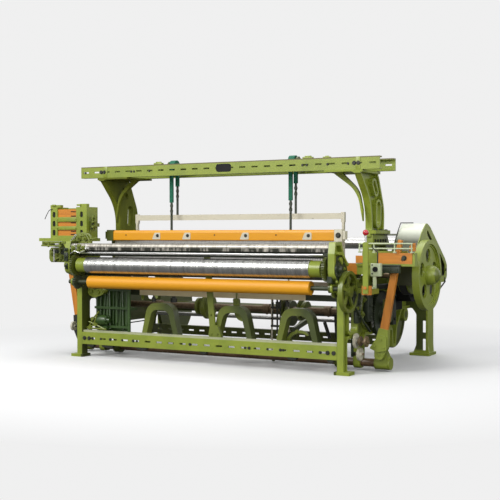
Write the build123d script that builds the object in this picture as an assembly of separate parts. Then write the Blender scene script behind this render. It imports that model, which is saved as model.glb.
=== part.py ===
from build123d import *
import math
import os

# Power loom: two cast side walls tied by rails and bowed legs under two slotted beams,
# with crankshaft, sley, picking, shedding, take-up and warp beam.
# Millimetres. X runs along the loom (weaver's right is +X), Y to the back, Z up.
# The origin is on the floor, midway between the four foot bolt holes.

# Driving sizes of the frame
WALL_INNER_X = 960.0        # half the clear width between the side walls
WALL_T = 43.0               # rim width of a wall casting
WEB_T = 14.0                # web left inside the rims
RIM = 20.0                  # rim thickness round outline and windows
FOOT_PITCH_X = 2044.0       # foot bolt spacing along the loom
FOOT_PITCH_Y = 1214.0       # foot bolt spacing front to back
FOOT_T = 20.0
FOOT_HOLE_R = 9.0
LEG_DEPTH = 60.0            # front leg, front to back
REAR_LEG_DEPTH = 130.0
REAR_LEG_OUT = 85.0         # how far the rear leg is cranked outwards
REAR_LEG_W = 83.0
REAR_LEG_TOP = 500.0
NOSE = 135.0                # how far the wall's nose stands before the front leg
NOSE_Z = 800.0
VALLEY_Z = 570.0            # wall top under the sley beam
SADDLE_Z = 850.0            # seat of the bowed legs
TIE_Z = 210.0               # lower edge of the wall between the legs

FRONT = -FOOT_PITCH_Y / 2 - LEG_DEPTH / 2


def back(distance):
    """Y of a place this far behind the front face of the front legs."""
    return FRONT + distance


WALL_OUTER_X = WALL_INNER_X + WALL_T

# Rails and top beams
RAIL_H = 83.0
RAIL_Z = 89.0
RAIL_D = 43.0
REAR_RAIL_Y = back(840.0)
REAR_RAIL_Z = 98.0
REAR_RAIL_H = 66.0
SECTION_T = 8.0
BEAM_H = 80.0
BEAM_D = 40.0
BEAM_Z = 1250.0
BEAM_LEFT = -1170.0
BEAM_RIGHT = 1130.0
FRONT_BEAM_Y = back(260.0)
REAR_BEAM_Y = back(500.0)
SLOT_L = 46.0
SLOT_H = 11.0
SLOT_PITCH = 92.0

# Bowed legs
BOW_T = 43.0
BOW_BASE_FRONT = back(432.0)
BOW_BASE_BACK = back(690.0)
BOW_TOP_FRONT = back(252.0)
BOW_TOP_BACK = back(562.0)
BRACE_REACH = 190.0         # inward reach of the curved brace along the beam
BRACE_W = 26.0

# Shafts
FIT = 0.05                  # radial clearance of a running shaft
SEAT = 0.3                  # clearance of a piece that rests or runs beside another
CRANK_Y = back(540.0)
CRANK_Z = 590.0
CRANK_R = 55.0              # throw
CRANK_SHAFT_R = 24.0
CRANK_PIN_R = 20.0
CRANK_PIN_X = 904.0
CRANK_PIN_L = 40.0
CRANK_WEB_T = 16.0
CRANK_END = 1400.0
GEAR_MODULE = 5.6
CRANK_TEETH = 30
BOTTOM_TEETH = 60
GEAR_W = 35.0
GEAR_GAP = 7.0              # from the wall's outer face to the gears
BOTTOM_SHAFT_R = 22.0
BOTTOM_Z = CRANK_Z - GEAR_MODULE * (CRANK_TEETH + BOTTOM_TEETH) / 2
BOTTOM_END = 1100.0
FLY_R = 222.0
FLY_X = 1318.0
FLY_W = 44.0
FLY_RIM = 26.0
DRIVE_PULLEY_R = 120.0
DRIVE_PULLEY_X = 1185.0
DRIVE_PULLEY_W = 60.0
GUARD_X = 1140.0
GUARD_DEPTH = 160.0
GUARD_T = 5.0
GUARD_LOW = 500.0           # the sides are cut off a little above this
BOSS_R = 46.0

# Sley
ROCKER_Y = back(290.0)
ROCKER_Z = 50.0
ROCKER_R = 25.0
ROCKER_END = 1196.0
SWORD_X = 862.0
SWORD_T = 18.0
SWORD_PIN_Z = 505.0
SLEY_Y0 = back(195.0)
SLEY_Y1 = back(265.0)
RACE_Z = 668.0
SLEY_H = 68.0
SLEY_END = 1008.0
REED_Y0 = back(234.0)
REED_Y1 = back(246.0)
REED_HALF = 850.0
REED_BAULK = 16.0
REED_GAPS = 100
CAP_Y0 = back(212.0)
CAP_Y1 = back(256.0)
CAP_Z0 = 805.0
CAP_Z1 = 875.0
CAP_HALF = REED_HALF
CAP_END = CAP_HALF + 70.0
BOX_END = 1385.0
BOX_BACK_END = FLY_X - 10.0   # the box is narrower beside the flywheel
BOX_NARROW_Y = back(225.0)
BOX_LIP = 14.0
BOARD_L = 219.0             # length of the box's wooden front
BOX_WALL = 12.0
BOX_H = 66.0
STICK_Y = back(229.0)
STICK_T = 24.0
STICK_PIVOT_X = 1146.0
STICK_PIVOT_Z = 112.0
STICK_LEAN = 10.7           # degrees outwards at rest
RIGHT_STICK_L = 712.0       # the right stick stands out over its box
LEFT_STICK_L = 600.0        # the left one stays under the magazine
PICK_HEIGHT = 600.0         # along the stick, where it meets the picker
STICK_LOW = 90.0            # foot of the stick, above the pivot
STICK_SHOULDER = 500.0
SHOE_TOP = 160.0
PICKER_L = 74.0

# Shedding
FRAME_HALF = 815.0
FRAME_H = 360.0
FRAME_T = 22.0
FRAME_BAR = 38.0
LIFT = 125.0
FRONT_FRAME_Y = back(373.0)
REAR_FRAME_Y = back(449.0)
REAR_FRAME_TOP = 984.0
STRAP_X = 465.0
HARNESS_Z = BEAM_Z + BEAM_H
FRONT_TAPE_Z = 1070.0       # where a strap's tape ends and its iron begins
REAR_TAPE_Z = 1185.0
HARNESS_SHAFT_R = 12.0
HARNESS_HALF = 520.0
TREADLE_Y = back(820.0)
TREADLE_Z = 252.0
TREADLE_ROD_R = 14.0
TREADLE_X = (351.0, 389.0)
TREADLE_T = 18.0
CAM_R = 110.0

# Cloth side
TAKE_Y = back(-90.0)
TAKE_Z = 638.0
TAKE_R = 55.0
TAKE_HALF = 835.0
TAKE_JOURNAL_R = 20.0
TAKE_CAP_R = 50.0
CAP_OUT_X = 908.0        # outer end of the take-up roller's caps
CLOTH_R = 42.5
CLOTH_HALF = 828.0
CLOTH_JOURNAL_R = 14.0
TAKE_TEETH = 28
CLOTH_TEETH = 18
IDLER_TEETH = 14
WHEEL_TEETH = 14
TAKE_MODULE = 5.0
MESH_GAP = 0.6              # extra distance between the idler and the hand wheel's gear
TAKE_GEAR_X = 927.0
TAKE_GEAR_W = 18.0
CLOTH_ANGLE = -85.0         # degrees, from the take-up axis to the cloth roller axis
WHEEL_ANGLE = -51.4         # degrees, from the take-up axis to the idler and the hand wheel
HAND_R = 126.0
HAND_SHAFT_R = 15.0
IDLER_PIN_R = 12.0
BREAST_Y0 = back(-122.0)
BREAST_Y1 = back(-30.0)
BREAST_Z0 = 740.0
BREAST_Z1 = 785.0
GUIDE_Y = back(-100.0)
GUIDE_Z = 723.0
GUIDE_R = 8.5

# Warp side
WARP_Y = back(1085.0)
WARP_Z = 292.0
WARP_R = 38.0
WARP_FLANGE_R = 235.0
WARP_FLANGE_X = 887.0
WARP_FLANGE_T = 18.0
WARP_JOURNAL_R = 25.0
REST_Y = back(1175.0)
REST_Z = 785.0
REST_R = 42.0


def cut_corner(a, b, c, radius):
    """Tangent points and middle of the arc that rounds corner b."""
    ab = Vector(a[0] - b[0], a[1] - b[1])
    cb = Vector(c[0] - b[0], c[1] - b[1])
    half = math.radians(ab.get_angle(cb)) / 2
    reach = radius / math.tan(half)
    p = Vector(b[0], b[1]) + ab.normalized() * reach
    q = Vector(b[0], b[1]) + cb.normalized() * reach
    middle = (ab.normalized() + cb.normalized()).normalized()
    m = Vector(b[0], b[1]) + middle * (radius / math.sin(half) - radius)
    return p, m, q


def is_straight(a, b, c):
    """True where the outline runs on in line through corner b."""
    ab = Vector(a[0] - b[0], a[1] - b[1])
    cb = Vector(c[0] - b[0], c[1] - b[1])
    return abs(ab.get_angle(cb) - 180) < 0.5


def outline(*corners):
    """Flat face from corners (u, v) or (u, v, radius)."""
    count = len(corners)
    edges = []
    joints = []
    for i, corner in enumerate(corners):
        round_here = len(corner) == 3 and corner[2] > 0
        if round_here and not is_straight(corners[i - 1], corner, corners[(i + 1) % count]):
            p, m, q = cut_corner(corners[i - 1], corner, corners[(i + 1) % count], corner[2])
            edges.append(ThreePointArc(p, m, q))
            joints.append((p, q))
        else:
            point = Vector(corner[0], corner[1])
            joints.append((point, point))
    for i in range(count):
        start = joints[i][1]
        end = joints[(i + 1) % count][0]
        if (end - start).length > 1e-6:
            edges.append(Line(start, end))
    return make_face(edges)


def yz(face, x0, x1):
    """Prism along X of a face drawn in (Y, Z)."""
    return extrude(Plane.YZ.offset(x0) * face, amount=x1 - x0, dir=(1, 0, 0))


def xz(face, y0, y1):
    """Prism along Y of a face drawn in (X, Z)."""
    placed = Plane(origin=(0, y0, 0), x_dir=(1, 0, 0), z_dir=(0, -1, 0)) * face
    return extrude(placed, amount=y1 - y0, dir=(0, 1, 0))


def block(x0, x1, y0, y1, z0, z1):
    box = Box(x1 - x0, y1 - y0, z1 - z0)
    return Pos((x0 + x1) / 2, (y0 + y1) / 2, (z0 + z1) / 2) * box


def rod_x(x0, x1, y, z, radius):
    return Pos((x0 + x1) / 2, y, z) * Rot(0, 90, 0) * Cylinder(radius, x1 - x0)


def rod_y(x, y0, y1, z, radius):
    return Pos(x, (y0 + y1) / 2, z) * Rot(90, 0, 0) * Cylinder(radius, y1 - y0)


def rod_z(x, y, z0, z1, radius):
    return Pos(x, y, (z0 + z1) / 2) * Cylinder(radius, z1 - z0)


def ring_x(x0, x1, y, z, outer, inner):
    return rod_x(x0, x1, y, z, outer) - rod_x(x0, x1, y, z, inner)


def rectangle(u0, u1, v0, v1, radius=0.0):
    return outline((u0, v0, radius), (u1, v0, radius), (u1, v1, radius), (u0, v1, radius))


def other_side(shape):
    return mirror(shape, about=Plane.YZ)


def both_sides(shape):
    """The piece and its mirror image, as two solids of one node."""
    return Compound([shape, other_side(shape)])


def gear_face(teeth, module, phase=0.0):
    """Spur gear outline with trapezoid teeth about the origin; phase in tooth pitches."""
    pitch_r = teeth * module / 2
    root, tip = pitch_r - 1.2 * module, pitch_r + 0.95 * module
    step = 2 * math.pi / teeth
    corners = []
    for i in range(teeth):
        middle = (i + phase) * step
        for radius, share in ((root, -0.35), (tip, -0.12), (tip, 0.12), (root, 0.35)):
            angle = middle + share * step
            corners.append((radius * math.cos(angle), radius * math.sin(angle)))
    return outline(*corners)


def gear(x0, x1, y, z, teeth, module, bore, phase=0.0):
    face = Pos(y, z) * gear_face(teeth, module, phase)
    return yz(face - Pos(y, z) * Circle(bore), x0, x1)


def cloth_axis():
    reach = TAKE_MODULE * (TAKE_TEETH + CLOTH_TEETH) / 2
    angle = math.radians(CLOTH_ANGLE)
    return TAKE_Y + reach * math.cos(angle), TAKE_Z + reach * math.sin(angle)


def train_axis(reach):
    """Axis on the line of the take-up train, this far from the take-up axis."""
    angle = math.radians(WHEEL_ANGLE)
    return TAKE_Y + reach * math.cos(angle), TAKE_Z + reach * math.sin(angle)


def idler_axis():
    return train_axis(TAKE_MODULE * (TAKE_TEETH + IDLER_TEETH) / 2)


def wheel_axis():
    return train_axis(TAKE_MODULE * (TAKE_TEETH + 2 * IDLER_TEETH + WHEEL_TEETH) / 2 + MESH_GAP)


# Side walls

def wall_profile():
    f = back(0)
    lug = REAR_RAIL_Z - 8
    return outline(
        (f, 0), (f, 545, 70), (f - NOSE, 590, 40), (f - NOSE, 730, 30),
        (back(-118), NOSE_Z, 12), (back(-30), NOSE_Z, 12), (back(95), VALLEY_Z, 60),
        (back(400), VALLEY_Z, 40), (back(440), 700, 40), (back(440), SADDLE_Z - 18, 8),
        (BOW_BASE_FRONT - 6, SADDLE_Z - 18), (BOW_BASE_FRONT - 6, SADDLE_Z),
        (BOW_BASE_BACK + 10, SADDLE_Z), (BOW_BASE_BACK + 10, SADDLE_Z - 18),
        (back(690), SADDLE_Z - 18, 8), (back(740), 720, 90), (back(1110), 610, 60),
        (back(1200), 560, 40), (back(1200), 331), (back(1010), 331, 60),
        (back(912), TIE_Z, 40), (REAR_RAIL_Y + 52, lug, 14), (REAR_RAIL_Y - 12, lug, 14),
        (REAR_RAIL_Y - 26, TIE_Z, 20), (back(345), TIE_Z, 20), (back(328), 14, 30),
        (back(252), 14, 30), (back(235), TIE_Z, 20), (f + LEG_DEPTH, TIE_Z, 25),
        (f + LEG_DEPTH, 0))


WINDOWS = (
    (88.0, 214.0, 252.0, 398.0, 24.0),
    (712.0, 752.0, 352.0, 458.0, 14.0),
    (800.0, 960.0, 350.0, 540.0, 40.0),
)


def rear_leg():
    """Angle-section leg cranked outwards: slotted web in front, flange outside, flared foot."""
    y0 = back(0) + FOOT_PITCH_Y + (LEG_DEPTH - REAR_LEG_DEPTH) / 2
    y1 = y0 + REAR_LEG_DEPTH
    x0 = WALL_INNER_X + REAR_LEG_OUT
    x1 = x0 + REAR_LEG_W
    face = outline((x0 - 22, FOOT_T - 1), (x1 + 12, FOOT_T - 1), (x1, 74, 40), (x1, REAR_LEG_TOP),
                   (WALL_INNER_X, REAR_LEG_TOP), (WALL_INNER_X, 331), (x0 - 30, 331, 20),
                   (x0, 290, 30), (x0, 74, 60))
    for z0, z1 in ((37.0, 118.0), (162.0, 245.0)):
        face -= rectangle(x1 - WEB_T - 24, x1 - WEB_T, z0, z1, 5)
    leg = xz(face, y0, y0 + WEB_T)
    flange = outline((y0, FOOT_T - 1), (y1 + 8, FOOT_T - 1), (y1 - 6, 80, 50), (y1 - 6, 440, 30),
                     (y1, REAR_LEG_TOP), (y0, REAR_LEG_TOP))
    leg += yz(flange, x1 - WEB_T, x1)
    leg += block(WALL_OUTER_X - WEB_T, x1, y0, y1, REAR_LEG_TOP - WEB_T, REAR_LEG_TOP)
    leg += block(x0 - 45, x1 + 14, y0 - 14, y1 + 14, 0, FOOT_T)
    return leg


def side_wall():
    face = wall_profile()
    for u0, u1, v0, v1, radius in WINDOWS:
        face -= rectangle(back(u0), back(u1), v0, v1, radius)
    wall = yz(face, WALL_INNER_X, WALL_OUTER_X)
    pocket = offset(face, amount=-RIM, kind=Kind.ARC)
    wall -= yz(pocket, WALL_INNER_X + WEB_T, WALL_OUTER_X)
    wall += rear_leg()
    front_foot = block(WALL_INNER_X - 14, WALL_OUTER_X + 42, back(-14), back(LEG_DEPTH + 14), 0, FOOT_T)
    wall += front_foot
    bearings = (
        (CRANK_Y, CRANK_Z, CRANK_SHAFT_R + FIT, BOSS_R),
        (CRANK_Y, BOTTOM_Z, BOTTOM_SHAFT_R + FIT, BOSS_R),
        (ROCKER_Y, ROCKER_Z, ROCKER_R + FIT, 36.0),
        (WARP_Y, WARP_Z, WARP_JOURNAL_R + FIT, BOSS_R),
        (TAKE_Y, TAKE_Z, TAKE_JOURNAL_R + FIT, 36.0),
    )
    for y, z, bore, boss in bearings:
        wall += rod_x(WALL_INNER_X, WALL_OUTER_X, y, z, boss)
    cloth_y, cloth_z = cloth_axis()
    lug = rectangle(cloth_y - 26, back(40), cloth_z - 26, cloth_z + 26, 20)
    wall += yz(lug, WALL_INNER_X - 12, WALL_INNER_X + WEB_T)
    wall -= rod_x(WALL_INNER_X - 13, WALL_OUTER_X + 1, cloth_y, cloth_z, CLOTH_JOURNAL_R + FIT)
    wheel_y, wheel_z = wheel_axis()
    wall += rod_x(WALL_INNER_X, WALL_OUTER_X, wheel_y, wheel_z, 30)
    wall -= rod_x(WALL_INNER_X - 13, WALL_OUTER_X + 1, wheel_y, wheel_z, HAND_SHAFT_R + FIT)
    idler_y, idler_z = idler_axis()
    wall += rod_x(TAKE_GEAR_X, WALL_INNER_X + WEB_T, idler_y, idler_z, IDLER_PIN_R)
    wall += block(WALL_INNER_X, WALL_INNER_X + WEB_T + 10, WARP_Y - 44, WARP_Y + 44, WARP_Z, 345)
    for y, z, bore, boss in bearings:
        wall -= rod_x(WALL_INNER_X - 1, WALL_OUTER_X + 1, y, z, bore)
    for sign in (-1, 1):
        wall -= rod_z(FOOT_PITCH_X / 2, sign * FOOT_PITCH_Y / 2, -1, FOOT_T + 1, FOOT_HOLE_R)
    return wall


# Rails, top beams and bowed legs

def channel(x0, x1, y_web, y_open, z, height, spare=0):
    """Slotted channel along X; the web stands at y_web and the flanges reach y_open."""
    sign = 1 if y_open > y_web else -1
    y0, y1 = min(y_web, y_open), max(y_web, y_open)
    web = y_web + sign * SECTION_T
    bar = block(x0, x1, y0, y1, z, z + height)
    inner0, inner1 = min(web, y_open + sign), max(web, y_open + sign)
    bar -= block(x0 - 1, x1 + 1, inner0, inner1, z + SECTION_T, z + height - SECTION_T)
    count = int((x1 - x0 - 2 * spare - SLOT_L) / SLOT_PITCH) + 1
    first = (x0 + x1) / 2 - (count - 1) * SLOT_PITCH / 2
    middle = z + height / 2
    for i in range(count):
        x = first + i * SLOT_PITCH
        slot = rectangle(x - SLOT_L / 2, x + SLOT_L / 2, middle - SLOT_H / 2, middle + SLOT_H / 2)
        bar -= xz(slot, min(y_web, web) - 1, max(y_web, web) + 1)
    return bar


def front_rail():
    return channel(-WALL_INNER_X, WALL_INNER_X, back(0), back(RAIL_D), RAIL_Z, RAIL_H, 40)


def rear_rail():
    """Channel between the lugs under the walls."""
    return channel(-WALL_INNER_X, WALL_INNER_X, REAR_RAIL_Y, REAR_RAIL_Y + BEAM_D, REAR_RAIL_Z,
                   REAR_RAIL_H, 40)


def front_stay():
    """Bar on top of the front rail that ties the walls."""
    z = RAIL_Z + RAIL_H
    bar = block(-WALL_INNER_X, WALL_INNER_X, back(12), back(37), z, z + 14)
    return bar - block(-WALL_INNER_X - 1, WALL_INNER_X + 1, back(18), back(38), z - 1, z + 8)


def front_top_beam():
    return channel(BEAM_LEFT, BEAM_RIGHT, FRONT_BEAM_Y, FRONT_BEAM_Y + BEAM_D, BEAM_Z, BEAM_H, 20)


def rear_top_beam():
    return channel(BEAM_LEFT, BEAM_RIGHT, REAR_BEAM_Y + BEAM_D, REAR_BEAM_Y, BEAM_Z, BEAM_H, 20)


def bow_profile():
    top = BEAM_Z
    return outline(
        (BOW_BASE_FRONT, SADDLE_Z), (BOW_BASE_BACK, SADDLE_Z), (BOW_BASE_BACK, SADDLE_Z + 22, 6),
        (back(664), SADDLE_Z + 24, 10), (back(672), 1010, 240), (back(575), 1215, 90),
        (BOW_TOP_BACK, 1228), (BOW_TOP_BACK, top), (BOW_TOP_FRONT, top),
        (BOW_TOP_FRONT, 1228), (back(268), 1226, 20), (back(446), 1040, 300),
        (back(450), SADDLE_Z + 24, 8), (BOW_BASE_FRONT, SADDLE_Z + 22, 6))


def bow_leg():
    """Cast leg bowed forwards, with two slots and a curved brace to the beams."""
    face = bow_profile()
    lower = outline((back(535), 905, 26), (back(598), 905, 26), (back(606), 1050, 26),
                    (back(546), 1062, 26))
    upper = outline((back(520), 1106, 16), (back(566), 1104, 16), (back(508), 1190, 16),
                    (back(462), 1188, 16))
    face -= lower
    face -= upper
    x0, x1 = WALL_INNER_X, WALL_INNER_X + BOW_T
    leg = yz(face, x0, x1)
    pocket = offset(face, amount=-16, kind=Kind.ARC)
    leg -= yz(pocket, x0 + WEB_T, x1)
    leg += block(x0, x1 + 34, BOW_BASE_FRONT, BOW_BASE_BACK, SADDLE_Z, SADDLE_Z + 22)
    leg += block(x0 - 10, x1 + 14, BOW_TOP_FRONT, BOW_TOP_BACK, BEAM_Z - 16, BEAM_Z)
    inner = x0 - BRACE_REACH
    arch = outline((x0 + 1, 930), (x0 + 1, 1000), (x0 - 24, 1130, 160), (inner + 40, BEAM_Z - 1),
                   (inner - 8, BEAM_Z - 1), (inner - 8, BEAM_Z - 12, 6), (x0 - 34, 1120, 200))
    middle = back(410)
    leg += xz(arch, middle - BRACE_W / 2, middle + BRACE_W / 2)
    leg += block(inner - 10, x0 + 1, BOW_TOP_FRONT, BOW_TOP_BACK, BEAM_Z - 12, BEAM_Z)
    return leg


def arch_stand(middle):
    """Cast arch behind the front rail."""
    base, top = RAIL_Z + 6, 388.0
    outer = outline((middle - 142, base), (middle - 142, 190, 60), (middle - 96, top, 80),
                    (middle + 96, top, 80), (middle + 142, 190, 60), (middle + 142, base))
    inner = outline((middle - 104, base - 1), (middle - 104, 190, 50), (middle - 62, top - 46, 50),
                    (middle + 62, top - 46, 50), (middle + 104, 190, 50), (middle + 104, base - 1))
    stand = xz(outer - inner, back(RAIL_D), back(RAIL_D) + 60)
    pocket = offset(outer - inner, amount=-9, kind=Kind.INTERSECTION)
    stand -= xz(pocket, back(RAIL_D) + 14, back(RAIL_D) + 61)
    return stand


def breast_beam():
    profile = outline((BREAST_Y0, BREAST_Z0), (BREAST_Y0, BREAST_Z1, 20), (BREAST_Y1, BREAST_Z1, 8),
                      (BREAST_Y1, BREAST_Z0))
    hollow = rectangle(BREAST_Y0 + 8, BREAST_Y1 - 8, BREAST_Z0 - 1, BREAST_Z1 - 9, 6)
    return yz(profile - hollow, -WALL_INNER_X, WALL_INNER_X)


def guide_rod():
    return rod_x(-WALL_INNER_X, WALL_INNER_X, GUIDE_Y, GUIDE_Z, GUIDE_R)


def rest_bracket():
    """Arm on the wall's rear slope that carries the back rest."""
    arm = outline((back(985), 560), (back(1100), 560), (REST_Y + 30, REST_Z - 20, 40),
                  (REST_Y + 22, REST_Z + 34, 20), (REST_Y - 30, REST_Z + 34, 20),
                  (REST_Y - 40, REST_Z - 40, 60))
    bracket = yz(arm, WALL_INNER_X - 16, WALL_INNER_X)
    return bracket - rod_x(WALL_INNER_X - 17, WALL_INNER_X + 1, REST_Y, REST_Z, 14 + FIT)


# Crankshaft group

def crank_throw(x):
    """Pin and two webs of one throw, about x; the pin stands straight up."""
    half = CRANK_PIN_L / 2
    pin_z = CRANK_Z + CRANK_R
    throw = rod_x(x - half - 1, x + half + 1, CRANK_Y, pin_z, CRANK_PIN_R)
    for x0 in (x - half - CRANK_WEB_T, x + half):
        web = outline((CRANK_Y - 29, CRANK_Z - 34, 14), (CRANK_Y + 29, CRANK_Z - 34, 14),
                      (CRANK_Y + 25, pin_z + 25, 20), (CRANK_Y - 25, pin_z + 25, 20))
        throw += yz(web, x0, x0 + CRANK_WEB_T)
    return throw


def crankshaft():
    half = CRANK_PIN_L / 2
    inner = CRANK_PIN_X - half
    outer = CRANK_PIN_X + half
    left_end = WALL_OUTER_X + GEAR_GAP + GEAR_W + 12
    shaft = rod_x(-inner, inner, CRANK_Y, CRANK_Z, CRANK_SHAFT_R)
    shaft += rod_x(outer, CRANK_END, CRANK_Y, CRANK_Z, CRANK_SHAFT_R)
    shaft += rod_x(-left_end, -outer, CRANK_Y, CRANK_Z, CRANK_SHAFT_R)
    for sign in (-1, 1):
        shaft += crank_throw(sign * CRANK_PIN_X)
    return shaft


def flywheel():
    x0, x1 = FLY_X, FLY_X + FLY_W
    wheel = ring_x(x0, x1, CRANK_Y, CRANK_Z, FLY_R, FLY_R - FLY_RIM)
    wheel += ring_x(x0 + 10, x1 - 10, CRANK_Y, CRANK_Z, FLY_R - FLY_RIM + 1, FLY_R - FLY_RIM - 12)
    web = Pos(CRANK_Y, CRANK_Z) * Circle(FLY_R - FLY_RIM + 1)
    for i in range(5):
        angle = math.radians(72 * i + 18)
        hole = Pos(CRANK_Y + 122 * math.cos(angle), CRANK_Z + 122 * math.sin(angle)) * Circle(44)
        web -= hole
    wheel += yz(web, (x0 + x1) / 2 - 7, (x0 + x1) / 2 + 7)
    dome = Pos(x1, CRANK_Y, CRANK_Z) * Sphere(62)
    dome &= block(x1 - 30, CRANK_END + 40, CRANK_Y - 70, CRANK_Y + 70, CRANK_Z - 70, CRANK_Z + 70)
    wheel += rod_x(x0, x1, CRANK_Y, CRANK_Z, 62)
    wheel += dome
    return wheel - rod_x(x0 - 1, CRANK_END, CRANK_Y, CRANK_Z, CRANK_SHAFT_R)


def drive_pulley():
    x0, x1 = DRIVE_PULLEY_X, DRIVE_PULLEY_X + DRIVE_PULLEY_W
    pulley = ring_x(x0, x1, CRANK_Y, CRANK_Z, DRIVE_PULLEY_R, CRANK_SHAFT_R)
    pulley += ring_x(x1 - 1, FLY_X + 1, CRANK_Y, CRANK_Z, 40, CRANK_SHAFT_R)
    return pulley - ring_x(x0 - 1, x0 + 18, CRANK_Y, CRANK_Z, DRIVE_PULLEY_R - 14, 48)


def crank_gear():
    x0 = WALL_OUTER_X + GEAR_GAP
    return gear(-x0 - GEAR_W, -x0, CRANK_Y, CRANK_Z, CRANK_TEETH, GEAR_MODULE, CRANK_SHAFT_R, 0.0)


def bottom_gear():
    x0 = WALL_OUTER_X + GEAR_GAP
    wheel = gear(-x0 - GEAR_W, -x0, CRANK_Y, BOTTOM_Z, BOTTOM_TEETH, GEAR_MODULE,
                 BOTTOM_SHAFT_R, 0.0)
    for i in range(4):
        angle = math.radians(90 * i + 45)
        y, z = CRANK_Y + 96 * math.cos(angle), BOTTOM_Z + 96 * math.sin(angle)
        wheel -= rod_x(-x0 - GEAR_W - 1, -x0 + 1, y, z, 34)
    return wheel


def crank_arm():
    """Connecting arm on the crank pin; its front eye runs beside the sword's pin."""
    eye_y, eye_z = sword_pin()
    half = CRANK_PIN_L / 2 - SEAT
    x0, x1 = CRANK_PIN_X - half, CRANK_PIN_X + half
    pin_z = CRANK_Z + CRANK_R
    arm = rod_x(x0, x1, CRANK_Y, pin_z, 34)
    arm += rod_x(x0, x1, eye_y, eye_z, 28)
    run = Vector(eye_y - CRANK_Y, eye_z - pin_z)
    normal = Vector(-run.Y, run.X).normalized()
    corners = []
    for point, side, width in (((CRANK_Y, pin_z), 1, 20), ((CRANK_Y, pin_z), -1, 20),
                               ((eye_y, eye_z), -1, 15), ((eye_y, eye_z), 1, 15)):
        corners.append((point[0] + side * width * normal.X, point[1] + side * width * normal.Y))
    arm += yz(outline(*corners), x0 + 8, x1 - 8)
    arm -= rod_x(x0 - 1, x1 + 1, CRANK_Y, pin_z, CRANK_PIN_R + FIT)
    return arm


def bottom_shaft():
    return rod_x(-BOTTOM_END, BOTTOM_END, CRANK_Y, BOTTOM_Z, BOTTOM_SHAFT_R)


def pick_cam():
    """Picking tappet with one nose, keyed outside the wall."""
    nose = outline((CRANK_Y - 30, BOTTOM_Z - 56, 24), (CRANK_Y + 30, BOTTOM_Z - 56, 24),
                   (CRANK_Y + 58, BOTTOM_Z + 20, 40), (CRANK_Y - 22, BOTTOM_Z + 96, 12),
                   (CRANK_Y - 50, BOTTOM_Z + 92, 12), (CRANK_Y - 58, BOTTOM_Z + 10, 30))
    x1 = BOTTOM_END - 6
    return yz(nose - Pos(CRANK_Y, BOTTOM_Z) * Circle(BOTTOM_SHAFT_R), x1 - 30, x1)


def shedding_cams():
    """Two opposed tappets that press the treadles."""
    cams = []
    for x, turn in zip(TREADLE_X, (0, 180)):
        lobe = Pos(0, 24) * Circle(CAM_R - 24) + Circle(48)
        face = Pos(CRANK_Y, BOTTOM_Z) * Rot(0, 0, turn) * (lobe - Circle(BOTTOM_SHAFT_R))
        cams.append(yz(face, x - 13, x + 13))
    return Compound(cams)


# Sley group

def sword_pin():
    """(Y, Z) of the pin on the leaning sword."""
    return ROCKER_Y - 42.0, SWORD_PIN_Z


def rocker_shaft():
    return rod_x(-ROCKER_END, ROCKER_END, ROCKER_Y, ROCKER_Z, ROCKER_R)


def sword():
    """Flat cast sword from the rocker shaft up to the sley beam."""
    x0, x1 = SWORD_X, SWORD_X + SWORD_T
    top = RACE_Z - SLEY_H
    lean = SLEY_Y0 + 36
    face = outline((ROCKER_Y - 34, ROCKER_Z - 10, 20), (ROCKER_Y + 34, ROCKER_Z - 10, 20),
                   (ROCKER_Y + 36, ROCKER_Z + 60, 60), (lean + 34, top - 90, 60),
                   (SLEY_Y1, top - 20, 10), (SLEY_Y1, top), (SLEY_Y0, top),
                   (SLEY_Y0, top - 20, 10), (lean - 30, top - 90, 60), (ROCKER_Y - 40, ROCKER_Z + 60, 60))
    blade = yz(face, x0, x1)
    boss = rod_x(x0 - 30, CRANK_PIN_X - CRANK_PIN_L / 2, ROCKER_Y, ROCKER_Z, 42)
    pin_y, pin_z = sword_pin()
    pin = rod_x(x1 - 1, CRANK_PIN_X - CRANK_PIN_L / 2, pin_y, pin_z, 14)
    flange = block(x0 - 24, CRANK_PIN_X - CRANK_PIN_L / 2, SLEY_Y0, SLEY_Y1, top - 12, top)
    body = blade + boss + pin + flange
    return body - rod_x(x0 - 31, x1 + 5, ROCKER_Y, ROCKER_Z, ROCKER_R)


def sley_beam():
    beam = block(-SLEY_END, SLEY_END, SLEY_Y0, SLEY_Y1, RACE_Z - SLEY_H, RACE_Z)
    return chamfer(beam.edges().filter_by(Axis.X).sort_by(Axis.Z)[-1], 4)


def sley_tie():
    """Lower cross bar between the swords."""
    y = ROCKER_Y - 40
    return block(-SWORD_X, SWORD_X, y - 16, y + 16, 424, 462)


def reed():
    frame = block(-REED_HALF, REED_HALF, REED_Y0, REED_Y1, RACE_Z, CAP_Z0)
    usable = 2 * REED_HALF - 60
    pitch = usable / REED_GAPS
    gaps = []
    for i in range(REED_GAPS):
        x = -usable / 2 + (i + 0.5) * pitch
        gap = Rectangle(pitch * 0.5, CAP_Z0 - RACE_Z - 2 * REED_BAULK)
        gaps.append(Pos(x, (RACE_Z + CAP_Z0) / 2) * gap)
    holes = [xz(gap, REED_Y0 - 1, REED_Y1 + 1) for gap in gaps]
    return frame - holes


def reed_cap():
    profile = outline((CAP_Y0, CAP_Z0, 6), (CAP_Y1, CAP_Z0, 6), (CAP_Y1, CAP_Z1, 10),
                      (CAP_Y0, CAP_Z1, 18))
    return yz(profile, -CAP_HALF, CAP_HALF)


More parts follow.
